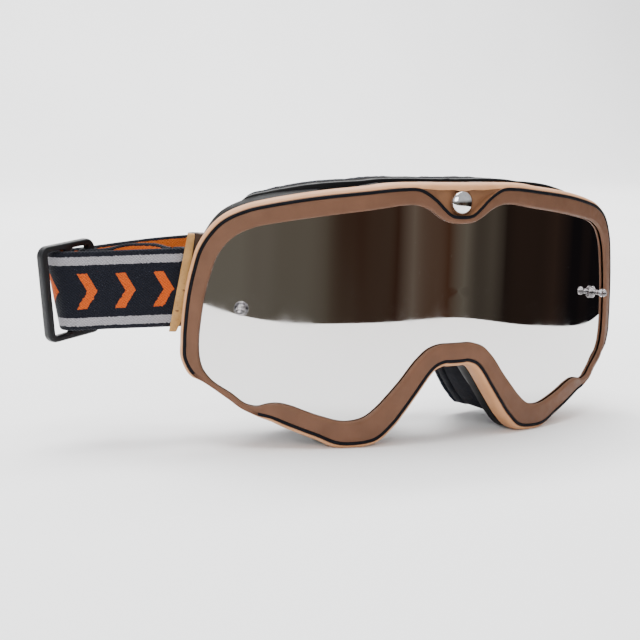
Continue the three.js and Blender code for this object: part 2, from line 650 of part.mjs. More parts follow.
// ---- silicone grip lines on the back strap's inner face ----
const backPoints = levelCurve(backPath).getPoints(400);
const GRIP = { height: 2, thickness: 0.5, spread: 6.5, ends: [-62, 22] };
for (const [name, z] of [['upper', GRIP.spread], ['lower', -GRIP.spread]]) {
  const path = [0, 0.25, 0.5, 0.75, 1].map((t) => {
    const x = lerp(...GRIP.ends, t);
    const closer = (best, p) => (Math.abs(p.x - x) < Math.abs(best.x - x) && p.y > 60 ? p : best);
    const { y } = backPoints.reduce(closer);
    return [x, y - STRAP_THICKNESS / 2 - FIT_GAP - GRIP.thickness / 2];
  });
  const edges = (t, x) => [backMiddle(x) + z - GRIP.height / 2, backMiddle(x) + z + GRIP.height / 2];
  piece(`${name}_grip_line`, band(world, path, GRIP.thickness, edges, 12), SILICONE);
}

export default goggles;
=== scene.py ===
import math

import bpy
import numpy as np
from mathutils import Matrix, Vector, noise


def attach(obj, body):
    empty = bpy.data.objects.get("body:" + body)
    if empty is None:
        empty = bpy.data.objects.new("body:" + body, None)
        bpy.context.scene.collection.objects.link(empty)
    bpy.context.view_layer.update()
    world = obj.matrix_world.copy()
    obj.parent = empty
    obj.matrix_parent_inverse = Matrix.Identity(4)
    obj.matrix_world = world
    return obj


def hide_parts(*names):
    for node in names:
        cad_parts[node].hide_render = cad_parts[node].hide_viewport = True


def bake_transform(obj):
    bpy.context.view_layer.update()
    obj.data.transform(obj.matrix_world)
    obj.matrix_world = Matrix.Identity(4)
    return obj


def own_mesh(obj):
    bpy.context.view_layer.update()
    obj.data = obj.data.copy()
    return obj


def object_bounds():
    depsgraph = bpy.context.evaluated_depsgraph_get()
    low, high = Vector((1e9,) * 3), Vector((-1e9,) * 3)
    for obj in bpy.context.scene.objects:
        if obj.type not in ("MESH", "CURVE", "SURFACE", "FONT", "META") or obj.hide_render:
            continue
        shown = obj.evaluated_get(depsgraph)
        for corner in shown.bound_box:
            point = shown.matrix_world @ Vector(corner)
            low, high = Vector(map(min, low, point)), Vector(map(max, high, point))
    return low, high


# Motorcycle goggles: the looks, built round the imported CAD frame.
# Shapes are drawn in mm in the lens frame (s along the lens cylinder, z up, w behind its front)
# and row() moves them into the row frame, in metres.
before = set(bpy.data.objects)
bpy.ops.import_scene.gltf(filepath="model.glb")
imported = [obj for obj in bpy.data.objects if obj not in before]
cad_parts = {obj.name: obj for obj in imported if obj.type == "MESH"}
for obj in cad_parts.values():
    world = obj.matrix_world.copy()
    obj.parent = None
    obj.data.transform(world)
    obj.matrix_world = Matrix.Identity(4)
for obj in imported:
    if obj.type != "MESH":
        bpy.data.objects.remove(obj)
cad_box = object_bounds()

# ---- dimensions (mm), as in the CAD unless a comment says otherwise ----
LENS_RADIUS = 160
LENS_THICKNESS = 1.2
FIT_GAP = 0.35
LIP_PROUD = 1.6
STRIPE_WIDTH = 1.0
STRIPE_GROOVE_DEPTH = 0.8
WALL_THICKNESS = 2.2
WALL_DEPTH = 9.5
TEMPLE_WALL_DEPTH = 6.5
SHOULDER_WIDTH = 2.2
CUTAWAY_SHOULDER = 0.8
BROW_HEIGHT = 49.6
BROW_SHOULDER = 2.8
RECESS_DEPTH = 0.8
CORNER_FLARE = 1.5              # only here: the black rear wall stands out behind the upper corners
CARRIER_DEPTH = 3
SEAL_WIDTH = 8.5
SOFT_FOAM_DEPTH = 4.5
FLEECE_DEPTH = 2
STUD_Z, STUD_SHANK = 42.7, 1.2
DOME_RADIUS, DOME_RISE = 4.4, 2.6       # a wider and flatter dome than the CAD's
BALL = 1.6                      # smaller than the CAD's
SEAL_RISE, SEAL_TUCK = (1.9, 3), 3.5
POST_S, POST_Z = 77.2, 6.6
PIN = (83.5, 37)
STRAP_WIDTH = 27
STRAP_THICKNESS = 1.6
STRAP_HEIGHT_AT_TAB = 12
STRAP_FALL = 0.065
LEATHER = 1.4
FOLD_ALONG, FOLD_INWARD, FOLD_RADIUS, FOLD_SWEEP = 44, 2.25, 4.3, 140
FOLD_LEAN = 0.2                 # more than in the CAD
BACK_RISE, RISE_RUN = 4.5, 52   # the rise runs longer than in the CAD
RETURN_BOW = 1.2                # less than in the CAD
SLIDER_WIDTH, SLIDER_HEIGHT, SLIDER_BAR, SLIDER_RAIL = 23, 33.4, 3, 2.2
SLIDER_TURN, SLIDER_LEAN, SLIDER_PLAY = math.radians(49), math.radians(6.5), 1.47
BRIDGE = np.array([0, 5, -14.7])
REST_HEIGHT = -41.3

APERTURE = [
    (0, 35.5, 2.2), (5, 36, 2.4), (9, 37.9, 3.1), (12.5, 40.2, 3.8), (17, 41.8, 5.1), (23, 41.8, 5.4),
    (34, 40.2, 5.9), (54, 37.5, 6.2), (73, 34, 5.9), (80.5, 30.2, 6), (85.4, 24.1, 5.7),
    (89.6, 9.8, 5), (91.3, -5, 4.5), (90.9, -11, 4.4), (89.8, -14.4, 3.2), (87.7, -17.2, 1.3),
    (80, -22.4, 1.2), (74.6, -26, 1.3), (71, -26.5, 2.5), (68, -25.7, 4.2), (64.5, -25.4, 5.3),
    (60, -26.3, 6), (50, -29.9, 6.3), (40, -32, 7.6), (34.5, -30.8, 8.5), (29.8, -27.4, 8),
    (21.7, -18.9, 6.8), (15, -11, 6.3), (11, -7.8, 6.4), (5.5, -6.3, 6.2), (3, -6.3, 6.2),
]
STATION_STEP = 7
FINE = 6                       # fine rows of faces per station


def lerp(a, b, t):
    return a + (b - a) * t


def smoothstep(x, low, high):
    t = min(1, max(0, (x - low) / (high - low)))
    return t * t * (3 - 2 * t)


def row(points):
    return (np.asarray(points, float) - BRIDGE) * 0.001


def on_lens(s, z, w):
    angle = s / LENS_RADIUS
    radius = LENS_RADIUS - w
    return np.array([radius * math.sin(angle), LENS_RADIUS - radius * math.cos(angle), z])


# ---- camera ----
EYE = Vector((-0.25566, -0.38099, 0.08444))
YAW, PITCH, ROLL = (math.radians(angle) for angle in (28.2, -8.7, 1.53))
camera_data = bpy.data.cameras.new("camera")
camera = bpy.data.objects.new("camera", camera_data)
bpy.context.scene.collection.objects.link(camera)
aim = Matrix.Rotation(-YAW, 4, "Z") @ Matrix.Rotation(math.pi / 2 + PITCH, 4, "X")
camera.matrix_world = Matrix.Translation(EYE) @ aim @ Matrix.Rotation(ROLL, 4, "Z")
camera_data.sensor_width = 36
camera_data.lens = 73.67
camera_data.clip_start = 0.01
bpy.context.scene.camera = camera


# ---- node materials ----
def add(tree, kind, inputs=None, **settings):
    node = tree.nodes.new("ShaderNode" + kind)
    for key, value in settings.items():
        setattr(node, key, value)
    for key, value in (inputs or {}).items():
        if isinstance(value, bpy.types.NodeSocket):
            tree.links.new(value, node.inputs[key])
        else:
            node.inputs[key].default_value = value
    return node


def math_node(tree, operation, *values):
    return add(tree, "Math", dict(enumerate(values)), operation=operation).outputs[0]


def mix(tree, share, a, b):
    inputs = {0: share, 6: a, 7: b}
    return add(tree, "Mix", inputs, data_type="RGBA").outputs[2]


def srgb(text):
    channels = [int(text[i:i + 2], 16) / 255 for i in (1, 3, 5)]
    return (*[c / 12.92 if c <= 0.04045 else ((c + 0.055) / 1.055) ** 2.4 for c in channels], 1)


def new_material(name, roughness, metallic=0.0, **sockets):
    material = bpy.data.materials.new(name)
    material.use_nodes = True
    tree = material.node_tree
    shader = tree.nodes["Principled BSDF"]
    shader.inputs["Metallic"].default_value = metallic
    shader.inputs["Roughness"].default_value = roughness
    for key, value in sockets.items():
        shader.inputs[key.replace("_", " ")].default_value = value
    return material, tree, shader


def object_position(tree):
    return add(tree, "TexCoord").outputs["Object"]


def texture(tree, kind, where, scale, detail=3.0):
    if kind == "cells":
        return add(tree, "TexVoronoi", {"Vector": where, "Scale": scale}).outputs["Distance"]
    return add(tree, "TexNoise", {"Vector": where, "Scale": scale, "Detail": detail}).outputs["Fac"]


def spread(tree, value, low, high, start=0.3, end=0.7):
    node = add(tree, "MapRange", {0: value, 1: start, 2: end, 3: low, 4: high})
    return node.outputs[0]


def bump(tree, shader, heights):
    """Chains bumps: heights is a list of (height socket, distance in mm)."""
    normal = None
    for height, distance in heights:
        inputs = {"Height": height, "Distance": distance * 0.001, "Strength": 1.0}
        if normal is not None:
            inputs["Normal"] = normal
        normal = add(tree, "Bump", inputs).outputs[0]
    tree.links.new(normal, shader.inputs["Normal"])


def plain(name, dark, light, roughness, scale, bumps, metallic=0.0, rough_spread=0.1, **sockets):
    """A finish whose colour and roughness drift over the surface, with bumps of (kind, scale, mm)."""
    material, tree, shader = new_material(name, roughness, metallic, **sockets)
    where = object_position(tree)
    drift = texture(tree, "noise", where, scale)
    colour = mix(tree, spread(tree, drift, 0, 1), srgb(dark), srgb(light))
    tree.links.new(colour, shader.inputs["Base Color"])
    patches = texture(tree, "noise", where, scale * 2.3, 5.0)
    low, high = roughness - rough_spread, roughness + rough_spread
    tree.links.new(spread(tree, patches, low, high), shader.inputs["Roughness"])
    bump(tree, shader, [(texture(tree, kind, where, s), mm) for kind, s, mm in bumps])
    return material


BEZEL = plain("bezel_rubber", "#5f412f", "#6a4936", 0.55, 130,
              [("noise", 2600, 0.035), ("noise", 260, 0.05)], Specular_IOR_Level=0.22)
# Painted light: the shoulder is the bezel's rubber made much lighter to stand in for the overhead light on
# its top; only a slight tan tone of its own is real.
SHOULDER_PAINTED_LIGHT = plain("shoulder_rubber_painted_light", "#ba865c", "#c8946a", 0.5, 110,
                 [("noise", 2600, 0.03), ("noise", 240, 0.05)], Specular_IOR_Level=0.25)
# Painted shade: the recessed band is the shoulder's rubber made darker for the shade that falls in the
# recess.
RECESS_PAINTED_SHADE = plain("recess_rubber_painted_shade", "#7c573c", "#8a6245", 0.6, 110,
               [("noise", 2600, 0.03), ("noise", 240, 0.05)], Specular_IOR_Level=0.2)
STRIPE = plain("stripe_rubber", "#030308", "#08080f", 0.6, 200,
               [("noise", 2200, 0.03)], Specular_IOR_Level=0.12)
GLOSS_BLACK = plain("gloss_black", "#070707", "#0f0f10", 0.46, 90,
                    [("noise", 900, 0.02), ("noise", 120, 0.04)], rough_spread=0.06, Specular_IOR_Level=0.08)
CARRIER = plain("carrier_plastic", "#060608", "#0d0d0f", 0.42, 150,
                [("noise", 900, 0.02)], rough_spread=0.06, Specular_IOR_Level=0.15)
SLIDER_BLACK = plain("slider_plastic", "#050609", "#0b0c12", 0.42, 260,
                     [("noise", 3200, 0.04), ("noise", 500, 0.04)], Specular_IOR_Level=0.35)
BROWN = plain("brown_plastic", "#26150b", "#372213", 0.6, 200,
              [("noise", 1500, 0.08)], Specular_IOR_Level=0.25)
SILICONE = plain("grip_silicone", "#23252f", "#2e313d", 0.45, 300, [("noise", 1800, 0.03)])
CHROME = plain("chrome", "#cfcfd0", "#e6e6e6", 0.07, 400, [("noise", 500, 0.006)], 1.0, 0.03)
STEEL = plain("pin_steel", "#858585", "#a2a2a2", 0.32, 700, [("noise", 4000, 0.02)], 1.0)
THREAD = plain("tab_thread", "#5a3b22", "#7a5433", 0.8, 2500, [("noise", 6000, 0.05)])


def lens_mirror():
    material, tree, shader = new_material("mirror_lens", 0.03, 1.0)
    where = object_position(tree)
    height = add(tree, "SeparateXYZ", {0: where}).outputs[2]
    rise = spread(tree, height, 0, 1, -0.005, 0.055)
    haze = spread(tree, texture(tree, "noise", where, 30), 0.94, 1.0)
    tint = mix(tree, rise, (0.74, 0.73, 0.72, 1), (0.80, 0.74, 0.70, 1))
    tint = mix(tree, haze, (0.6, 0.56, 0.53, 1), tint)
    tree.links.new(tint, shader.inputs["Base Color"])
    smear = spread(tree, texture(tree, "noise", where, 90, 6.0), 0.015, 0.06, 0.45, 0.75)
    tree.links.new(smear, shader.inputs["Roughness"])
    return material


def clear_plastic():
    material, tree, shader = new_material(
        "clear_plastic", 0.04, Base_Color=(0.36, 0.35, 0.37, 1), IOR=1.49, Transmission_Weight=1.0)
    where = object_position(tree)
    haze = texture(tree, "noise", where, 500)
    tree.links.new(spread(tree, haze, 0.01, 0.04), shader.inputs["Roughness"])
    bump(tree, shader, [(haze, 0.004)])
    return material


def foam(name, dark, light, low, pore, sheen):
    """Foam that shades from light at the brow to low at the cheeks, with dark pores."""
    material, tree, shader = new_material(
        name, 0.95, Sheen_Weight=sheen, Sheen_Roughness=0.6, Specular_IOR_Level=0.2)
    where = object_position(tree)
    pores = texture(tree, "cells", where, 1000 / pore)
    grain = texture(tree, "noise", where, 2400 / pore, 4.0)
    shade = math_node(tree, "MULTIPLY", spread(tree, pores, 0, 1, 0.05, 0.5), spread(tree, grain, 0.6, 1))
    height = add(tree, "SeparateXYZ", {0: where}).outputs[2]
    body = mix(tree, spread(tree, height, 0, 1, 0.005, 0.04), srgb(low), srgb(light))
    tree.links.new(mix(tree, shade, srgb(dark), body), shader.inputs["Base Color"])
    bump(tree, shader, [(pores, 0.35 * pore), (grain, 0.2 * pore)])
    return material


def fleece_cloth():
    material, tree, shader = new_material(
        "fleece", 1.0, Sheen_Weight=0.1, Sheen_Roughness=0.5, Specular_IOR_Level=0.1)
    where = object_position(tree)
    tufts = texture(tree, "noise", where, 900, 6.0)
    drift = texture(tree, "noise", where, 160, 3.0)
    shade = math_node(tree, "MULTIPLY", spread(tree, tufts, 0.3, 1), spread(tree, drift, 0.6, 1))
    tree.links.new(mix(tree, shade, srgb("#05060e"), srgb("#161a2c")), shader.inputs["Base Color"])
    bump(tree, shader, [(tufts, 0.5), (drift, 0.6)])
    return material


def leather(name, dark, light):
    material, tree, shader = new_material(name, 0.62, Specular_IOR_Level=0.35)
    where = object_position(tree)
    blotch = texture(tree, "noise", where, 210, 6.0)
    pores = texture(tree, "cells", where, 2100)
    grain = texture(tree, "cells", where, 900)
    base = mix(tree, spread(tree, blotch, 0, 1), srgb(dark), srgb(light))
    specks = spread(tree, texture(tree, "noise", where, 1300, 4.0), 0.55, 0, 0.3, 0.42)
    base = mix(tree, specks, base, srgb("#7d552f"))
    tree.links.new(base, shader.inputs["Base Color"])
    tree.links.new(spread(tree, blotch, 0.5, 0.75), shader.inputs["Roughness"])
    bump(tree, shader, [(grain, 0.09), (pores, 0.06), (blotch, 0.25)])
    return material


# Strap faces: UV is in dm, along the webbing and up from its lower edge.
UV_SCALE = 0.01
WEAVE = (1.15, 0.95)            # pitch of the knit, along and across (mm)
MARGINS = ((1.5, 4.3), (22.3, 25.1))
INNER_MARGIN = 1.0              # navy edge of the orange inner face
MARK_PITCH, MARK_REACH, MARK_STROKE, MARK_SLOPE, MARK_SHIFT = 13.0, 6.0, 1.75, 0.6, 1.8
RAGGEDNESS = 0.9                # how far the woven outlines wander (mm)


def webbing(name, outer):
    material, tree, shader = new_material(
        name, 0.88, Sheen_Weight=0.12, Sheen_Roughness=0.5, Specular_IOR_Level=0.15)
    uv = add(tree, "UVMap", uv_map="strap").outputs[0]
    split = add(tree, "SeparateXYZ", {0: uv})
    where = object_position(tree)
    wobble = math_node(tree, "SUBTRACT", texture(tree, "noise", where, 1400), 0.5)
    ragged = math_node(tree, "MULTIPLY", wobble, RAGGEDNESS)
    along = math_node(tree, "MULTIPLY_ADD", split.outputs[0], 1 / UV_SCALE, ragged)
    across = math_node(tree, "MULTIPLY_ADD", split.outputs[1], 1 / UV_SCALE, ragged)
    rows = math_node(tree, "SINE", math_node(tree, "MULTIPLY", along, math.tau / WEAVE[0]))
    ribs = math_node(tree, "SINE", math_node(tree, "MULTIPLY", across, math.tau / WEAVE[1]))
    knit = math_node(tree, "MULTIPLY", rows, ribs)
    navy = mix(tree, spread(tree, knit, 0, 1, -1, 1), srgb("#04060f"), srgb("#0d101c"))

    def band(centre, half):
        return math_node(tree, "COMPARE", across, centre, half)

    if outer:
        grey = mix(tree, spread(tree, knit, 0, 1, -1, 1), srgb("#76747a"), srgb("#a3a0a3"))
        lines = [band((a + b) / 2, (b - a) / 2) for a, b in MARGINS]
        colour = mix(tree, math_node(tree, "MAXIMUM", *lines), navy, grey)
        off = math_node(tree, "ABSOLUTE", math_node(tree, "SUBTRACT", across, STRAP_WIDTH / 2 - 0.2))
        cell = math_node(tree, "WRAP", along, MARK_PITCH / 2, -MARK_PITCH / 2)
        slant = math_node(tree, "MULTIPLY_ADD", off, -MARK_SLOPE, math_node(tree, "ADD", cell, MARK_SHIFT))
        stroke = math_node(tree, "COMPARE", slant, 0.0, MARK_STROKE)
        marks = math_node(tree, "MULTIPLY", stroke, math_node(tree, "LESS_THAN", off, MARK_REACH))
    else:
        colour = navy
        marks = band(STRAP_WIDTH / 2, STRAP_WIDTH / 2 - INNER_MARGIN)
    deep, bright = ("#a63f06", "#c45510") if outer else ("#b4510d", "#cc681e")
    orange = mix(tree, spread(tree, knit, 0, 1, -1, 1), srgb(deep), srgb(bright))
    colour = mix(tree, marks, colour, orange)
    tree.links.new(colour, shader.inputs["Base Color"])
    fuzz = texture(tree, "noise", where, 2600, 4.0)
    raised = math_node(tree, "MULTIPLY_ADD", marks, 1.2, knit)
    bump(tree, shader, [(raised, 0.11), (fuzz, 0.1)])
    return material


LENS_MIRROR = lens_mirror()
CLEAR = clear_plastic()
BASE_FOAM = foam("base_foam", "#050506", "#1e1b19", "#080b18", 0.9, 0.0)
SOFT_FOAM = foam("soft_foam", "#030406", "#13141a", "#080b18", 0.6, 0.03)
FLEECE = fleece_cloth()
TAN_LEATHER = leather("tan_leather", "#9c733f", "#b58c55")
RAW_LEATHER = leather("raw_leather_edge", "#a87a45", "#c79a62")
OUTER_WEB = webbing("webbing_outer", True)
INNER_WEB = webbing("webbing_inner", False)


# ---- mesh helpers ----
def mesh_object(name, vertices, faces, materials, face_slots=None, sharp=40):
    mesh = bpy.data.meshes.new(name)
    mesh.from_pydata([tuple(v) for v in vertices], [], faces)
    for material in materials:
        mesh.materials.append(material)
    if face_slots is not None:
        mesh.polygons.foreach_set("material_index", face_slots)
    mesh.polygons.foreach_set("use_smooth", [True] * len(mesh.polygons))
    mesh.update()
    mesh.set_sharp_from_angle(angle=math.radians(sharp))
    obj = bpy.data.objects.new(name, mesh)
    bpy.context.scene.collection.objects.link(obj)
    return obj


def outward(vertices, faces):
    """Reverses the faces if they enclose a negative volume."""
    v = np.asarray(vertices, float)
    volume = 0.0
    for face in faces:
        a = v[face[0]]
        for b, c in zip(face[1:-1], face[2:]):
            volume += np.dot(a, np.cross(v[b], v[c]))
    return [tuple(reversed(face)) for face in faces] if volume < 0 else faces


def skin(name, rows, materials, closed=False, slot_of=None, uv_of=None, sharp=40):
    """Skins rows of points, each a closed section, with capped ends unless closed."""
    rows = np.asarray(rows, float)
    count, width = rows.shape[:2]
    vertices = rows.reshape(-1, 3)
    faces, slots = [], []
    for i in range(count if closed else count - 1):
        j = (i + 1) % count
        for k in range(width):
            m = (k + 1) % width
            faces.append((i * width + k, i * width + m, j * width + m, j * width + k))
            slots.append(slot_of[k] if slot_of else 0)
    if not closed:
        faces.append(tuple(reversed(range(width))))
        faces.append(tuple((count - 1) * width + k for k in range(width)))
        slots += [0, 0]
    obj = mesh_object(name, vertices, outward(vertices, faces), materials, slots, sharp)
    if uv_of is not None:
        layer = obj.data.uv_layers.new(name="strap")
        flat_uv = np.asarray(uv_of, float).reshape(-1, 2)
        at = np.empty(len(obj.data.loops), np.int32)
        obj.data.loops.foreach_get("vertex_index", at)
        layer.data.foreach_set("uv", flat_uv[at].ravel())
    return obj


def fillet(profile, radii, segments=3):
    """Rounds each corner of a closed profile with a fixed number of points."""
    points = np.asarray(profile, float)
    out = []
    for i, corner in enumerate(points):
        before, after = points[i - 1], points[(i + 1) % len(points)]
        ends = []
        for other in (before, after):
            reach = np.linalg.norm(other - corner)
            cut = min(radii[i], 0.45 * reach)
            ends.append(corner + (other - corner) * cut / max(reach, 1e-6))
        for k in range(segments + 1):
            t = k / segments
            out.append((1 - t) ** 2 * ends[0] + 2 * t * (1 - t) * corner + t * t * ends[1])
    return np.array(out)


def refine(rows, knots, closed, fine=FINE):
    """Smooth rows through the given ones: a cubic in the running length of knots."""
    rows = np.asarray(rows, float)
    knots = np.asarray(knots, float)
    count = len(rows)

    def pick(values, i):
        return values[i % count] if closed else values[min(max(i, 0), count - 1)]

    def gap(i):
        return max(np.linalg.norm(pick(knots, i + 1) - pick(knots, i)), 1e-6)

    def tangent(i):
        if not closed and i in (0, count - 1):
            j = min(i, count - 2)
            return (rows[j + 1] - rows[j]) / gap(j)
        back = (pick(rows, i) - pick(rows, i - 1)) / gap(i - 1)
        ahead = (pick(rows, i + 1) - pick(rows, i)) / gap(i)
        share = gap(i) / (gap(i) + gap(i - 1))
        return back * share + ahead * (1 - share)

    out = []
    for i in range(count if closed else count - 1):
        p, q, g = pick(rows, i), pick(rows, i + 1), gap(i)
        a, b = tangent(i) * g, tangent((i + 1) % count if closed else i + 1) * g
        for k in range(fine):
            t = k / fine
            out.append((2 * t ** 3 - 3 * t ** 2 + 1) * p + (t ** 3 - 2 * t ** 2 + t) * a
                       + (-2 * t ** 3 + 3 * t ** 2) * q + (t ** 3 - t ** 2) * b)
    if not closed:
        out.append(rows[-1])
    return np.array(out)


# ---- stations round the aperture, as in the CAD ----
class Station:
    def __init__(self, s, z, width):
        self.s, self.z, self.width = s, z, width

    def measure(self, before, after):
        run = math.hypot(after.s - before.s, after.z - before.z)
        self.out = (-(after.z - before.z) / run, (after.s - before.s) / run)
        side = abs(self.s)
        temple = smoothstep(side, 70, 82)
        shoulder = lerp(CUTAWAY_SHOULDER, SHOULDER_WIDTH, smoothstep(self.width, 1.5, 3.5))
        brow = BROW_HEIGHT - 0.005 * max(0, side - 18) ** 2
        under_brow = (brow - self.z) / self.out[1] if self.z > 30 and side < 34 else 0
        self.outer = max(self.width + shoulder, under_brow)
        self.lens_edge = min(2.4, 0.4 * self.width)
        self.groove = STRIPE_GROOVE_DEPTH * smoothstep(self.width, 1.4, 2)
        self.depth = lerp(WALL_DEPTH, TEMPLE_WALL_DEPTH, temple)
        rise = smoothstep(self.z, 22, 36) * lerp(*SEAL_RISE, smoothstep(side, 20, 55))
        edge = self.outer - 0.9
        tuck = SEAL_TUCK * smoothstep(-self.z, 14, 32)
        inset = lerp(smoothstep(side, 74, 82), smoothstep(side, 77, 86), smoothstep(self.z, 10, 24))
        self.seal_out = lerp(edge + rise - tuck, -4, inset)
        self.seal_in = min(lerp(edge, -4, smoothstep(side, 74, 82)) - SEAL_WIDTH, -1)
        cheek = smoothstep(-self.z, 0, 30) * (1 - smoothstep(side, 45, 70))
        self.rear = 26 + 8 * cheek - 7 * smoothstep(side, 62, 86)

    def spot(self, n, w):
        return on_lens(self.s + n * self.out[0], self.z + n * self.out[1], w)


def cubic(a, b, c, d, t):
    v0, v1 = (c - a) / 2, (d - b) / 2
    return (2 * b - 2 * c + v0 + v1) * t ** 3 + (3 * c - 3 * b - 2 * v0 - v1) * t ** 2 + v0 * t + b


loop = APERTURE + [(-s, z, width) for s, z, width in reversed(APERTURE[1:])]
stations = []
for i, here in enumerate(loop):
    near = [loop[(i + k) % len(loop)] for k in (-1, 0, 1, 2)]
    gap = math.hypot(near[2][0] - here[0], near[2][1] - here[1])
    parts = max(1, math.floor(gap / STATION_STEP + 0.5))
    for k in range(parts):
        stations.append(Station(*(cubic(*(p[axis] for p in near), k / parts) for axis in range(3))))
for i, station in enumerate(stations):
    station.measure(stations[i - 1], stations[(i + 1) % len(stations)])


def ring_rows(section, chosen=stations, closed=True, fine=FINE):
    rows = [[station.spot(n, w) for n, w in section(station)] for station in chosen]
    knots = [(station.s, station.z) for station in chosen]
    return refine(rows, knots, closed, fine)


# ---- moulded frame ----
FRAME_RADII = [0.1, 0.3, 0.4, 0.12, 0.05, 0.05, 0.1, 0.15, 0.2, 0.4, 1.0, 1.2, 0.15, 0.1, 0.1, 0.12,
               0.35, 0.2, 0.2, 0.1, 0.05, 0.05, 0.05]


def frame_section(it):
    lip = -LIP_PROUD
    half = STRIPE_WIDTH / 2 + 0.08
    recess_start = it.width + half
    shoulder_start = max(recess_start + 0.25, it.outer - BROW_SHOULDER)
    recess = lerp(lip + 0.3, RECESS_DEPTH, smoothstep(shoulder_start - recess_start, 0.4, 3))
    inner = max(0.3, it.outer - WALL_THICKNESS)
    groove_end = it.lens_edge + FIT_GAP
    tan = lerp(3.2, 4.6, smoothstep(-it.z, -20, 10))
    flare = CORNER_FLARE * smoothstep(it.z, 20, 31) * smoothstep(abs(it.s), 40, 72)
    return fillet([
        (0, -FIT_GAP),
        (0, lip + 0.5),
        (0.5, lip),
        (it.width - half, lip),
        (it.width - half, lip + it.groove),
        (recess_start, lip + it.groove),
        (recess_start, lip + 0.05),
        (recess_start + 0.08, recess),
        (shoulder_start - 0.08, recess),
        (shoulder_start, lip + 0.35),
        (lerp(shoulder_start, it.outer, 0.7), lip + 1.2),
        (it.outer, 1.4),
        (it.outer, tan),
        (it.outer - 0.4, tan + 0.1),
        (it.outer - 0.4, tan + 0.45),
        (it.outer - 0.06, tan + 0.5),
        (it.outer - 0.06 + flare, it.depth),
        (inner, it.depth),
        (inner, 3.8),
        (0.1, 3.3),
        (0.1, LENS_THICKNESS + FIT_GAP),
        (groove_end, LENS_THICKNESS + FIT_GAP),
        (groove_end, -FIT_GAP),
    ], FRAME_RADII)


frame_rows = ring_rows(frame_section)
frame_rows[:, :, 2] = np.maximum(frame_rows[:, :, 2], REST_HEIGHT)
BEZEL_ZONE, SHOULDER_ZONE, BLACK_ZONE, RECESS_ZONE = range(4)
zone_of_corner = [BEZEL_ZONE] * 6 + [RECESS_ZONE] * 3 + [SHOULDER_ZONE] * 4 + [BLACK_ZONE] * 10
zones = [zone_of_corner[k // 4] for k in range(len(frame_rows[0]))]
# The shoulder and recess finishes are lit and shaded copies of the bezel rubber: painted light on the
# shoulder, painted shade in the recess.
FRAME_FINISHES = [BEZEL, SHOULDER_PAINTED_LIGHT, GLOSS_BLACK, RECESS_PAINTED_SHADE]
moulded = skin("moulded_frame", row(frame_rows), FRAME_FINISHES, True, zones, sharp=35)

VENT_COUNT, VENT_PITCH, VENT_WIDTH, VENT_HEIGHT, VENT_DEPTH = 5, 22, 15, 3.6, 6.9


def facing(s, z, w=0):
    """Turns a shape drawn round +Z, outwards from the lens, into its place at s, z (metres)."""
    angle = s / LENS_RADIUS
    turn = Matrix((
        (math.cos(angle), 0, math.sin(angle)),
        (math.sin(angle), 0, -math.cos(angle)),
        (0, 1, 0),
    )).to_4x4()
    return Matrix.Translation(row(on_lens(s, z, w))) @ turn


def rounded_slot(width, height, length, segments=8):
    """A slot-shaped prism along +Y, as vertices and faces (metres)."""
    radius = height / 2
    outline = []
    for side in (1, -1):
        for k in range(segments + 1):
            angle = side * math.pi / 2 - side * math.pi * k / segments
            reach = width / 2 - radius + radius * abs(math.cos(angle))
            outline.append((side * reach, radius * math.sin(angle)))
    vertices = [(x, y * length / 2, z) for y in (-1, 1) for x, z in outline]
    count = len(outline)
    faces = [tuple(range(count)), tuple(reversed(range(count, 2 * count)))]
    faces += [(k, k + count, (k + 1) % count + count, (k + 1) % count) for k in range(count)]
    return np.array(vertices) * 0.001, faces


def subtract(obj, cutters):
    for cutter in cutters:
        modifier = obj.modifiers.new("cut", "BOOLEAN")
        modifier.operation = "DIFFERENCE"
        modifier.solver = "EXACT"
        modifier.object = cutter
    depsgraph = bpy.context.evaluated_depsgraph_get()
    cut_mesh = bpy.data.meshes.new_from_object(obj.evaluated_get(depsgraph))
    obj.modifiers.clear()
    obj.data = cut_mesh
    for cutter in cutters:
        bpy.data.objects.remove(cutter)
    return obj


cutters = []
for i in range(VENT_COUNT):
    s = (i - (VENT_COUNT - 1) / 2) * VENT_PITCH
    slot_vertices, slot_faces = rounded_slot(VENT_WIDTH, VENT_HEIGHT, 14)
    slot = mesh_object(f"vent_{i}", slot_vertices, outward(slot_vertices, slot_faces), FRAME_FINISHES,
                       [BLACK_ZONE] * len(slot_faces))
    slot.data.transform(facing(s, BROW_HEIGHT - 1, VENT_DEPTH))
    cutters.append(slot)
subtract(moulded, cutters)
moulded.data.set_sharp_from_angle(angle=math.radians(35))
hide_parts("frame")
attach(moulded, "frame")


# ---- stripes ----
def stripe_section(it):
    half = STRIPE_WIDTH / 2
    back = -LIP_PROUD + it.groove - 0.1
    front = -LIP_PROUD - 0.15
    low, high = it.width - half, it.width + half
    return fillet([(low, back), (low, front), (high, front), (high, back)], [0.05, 0.3, 0.3, 0.05], 4)


def is_striped(it):
    return it.width >= 2.15


first = next(i for i, it in enumerate(stations) if not is_striped(it))
in_order = stations[first:] + stations[:first]
runs = []
for i, it in enumerate(in_order):
    if is_striped(it):
        if not is_striped(in_order[i - 1]):
            runs.append([])
        runs[-1].append(it)
for run in runs:
    name = "brow_stripe" if any(it.z > 0 for it in run) else "nose_stripe"
    stripe = skin(name + "_inlay", row(ring_rows(stripe_section, run, False)), [STRIPE])
    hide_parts(name)
    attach(stripe, "frame")

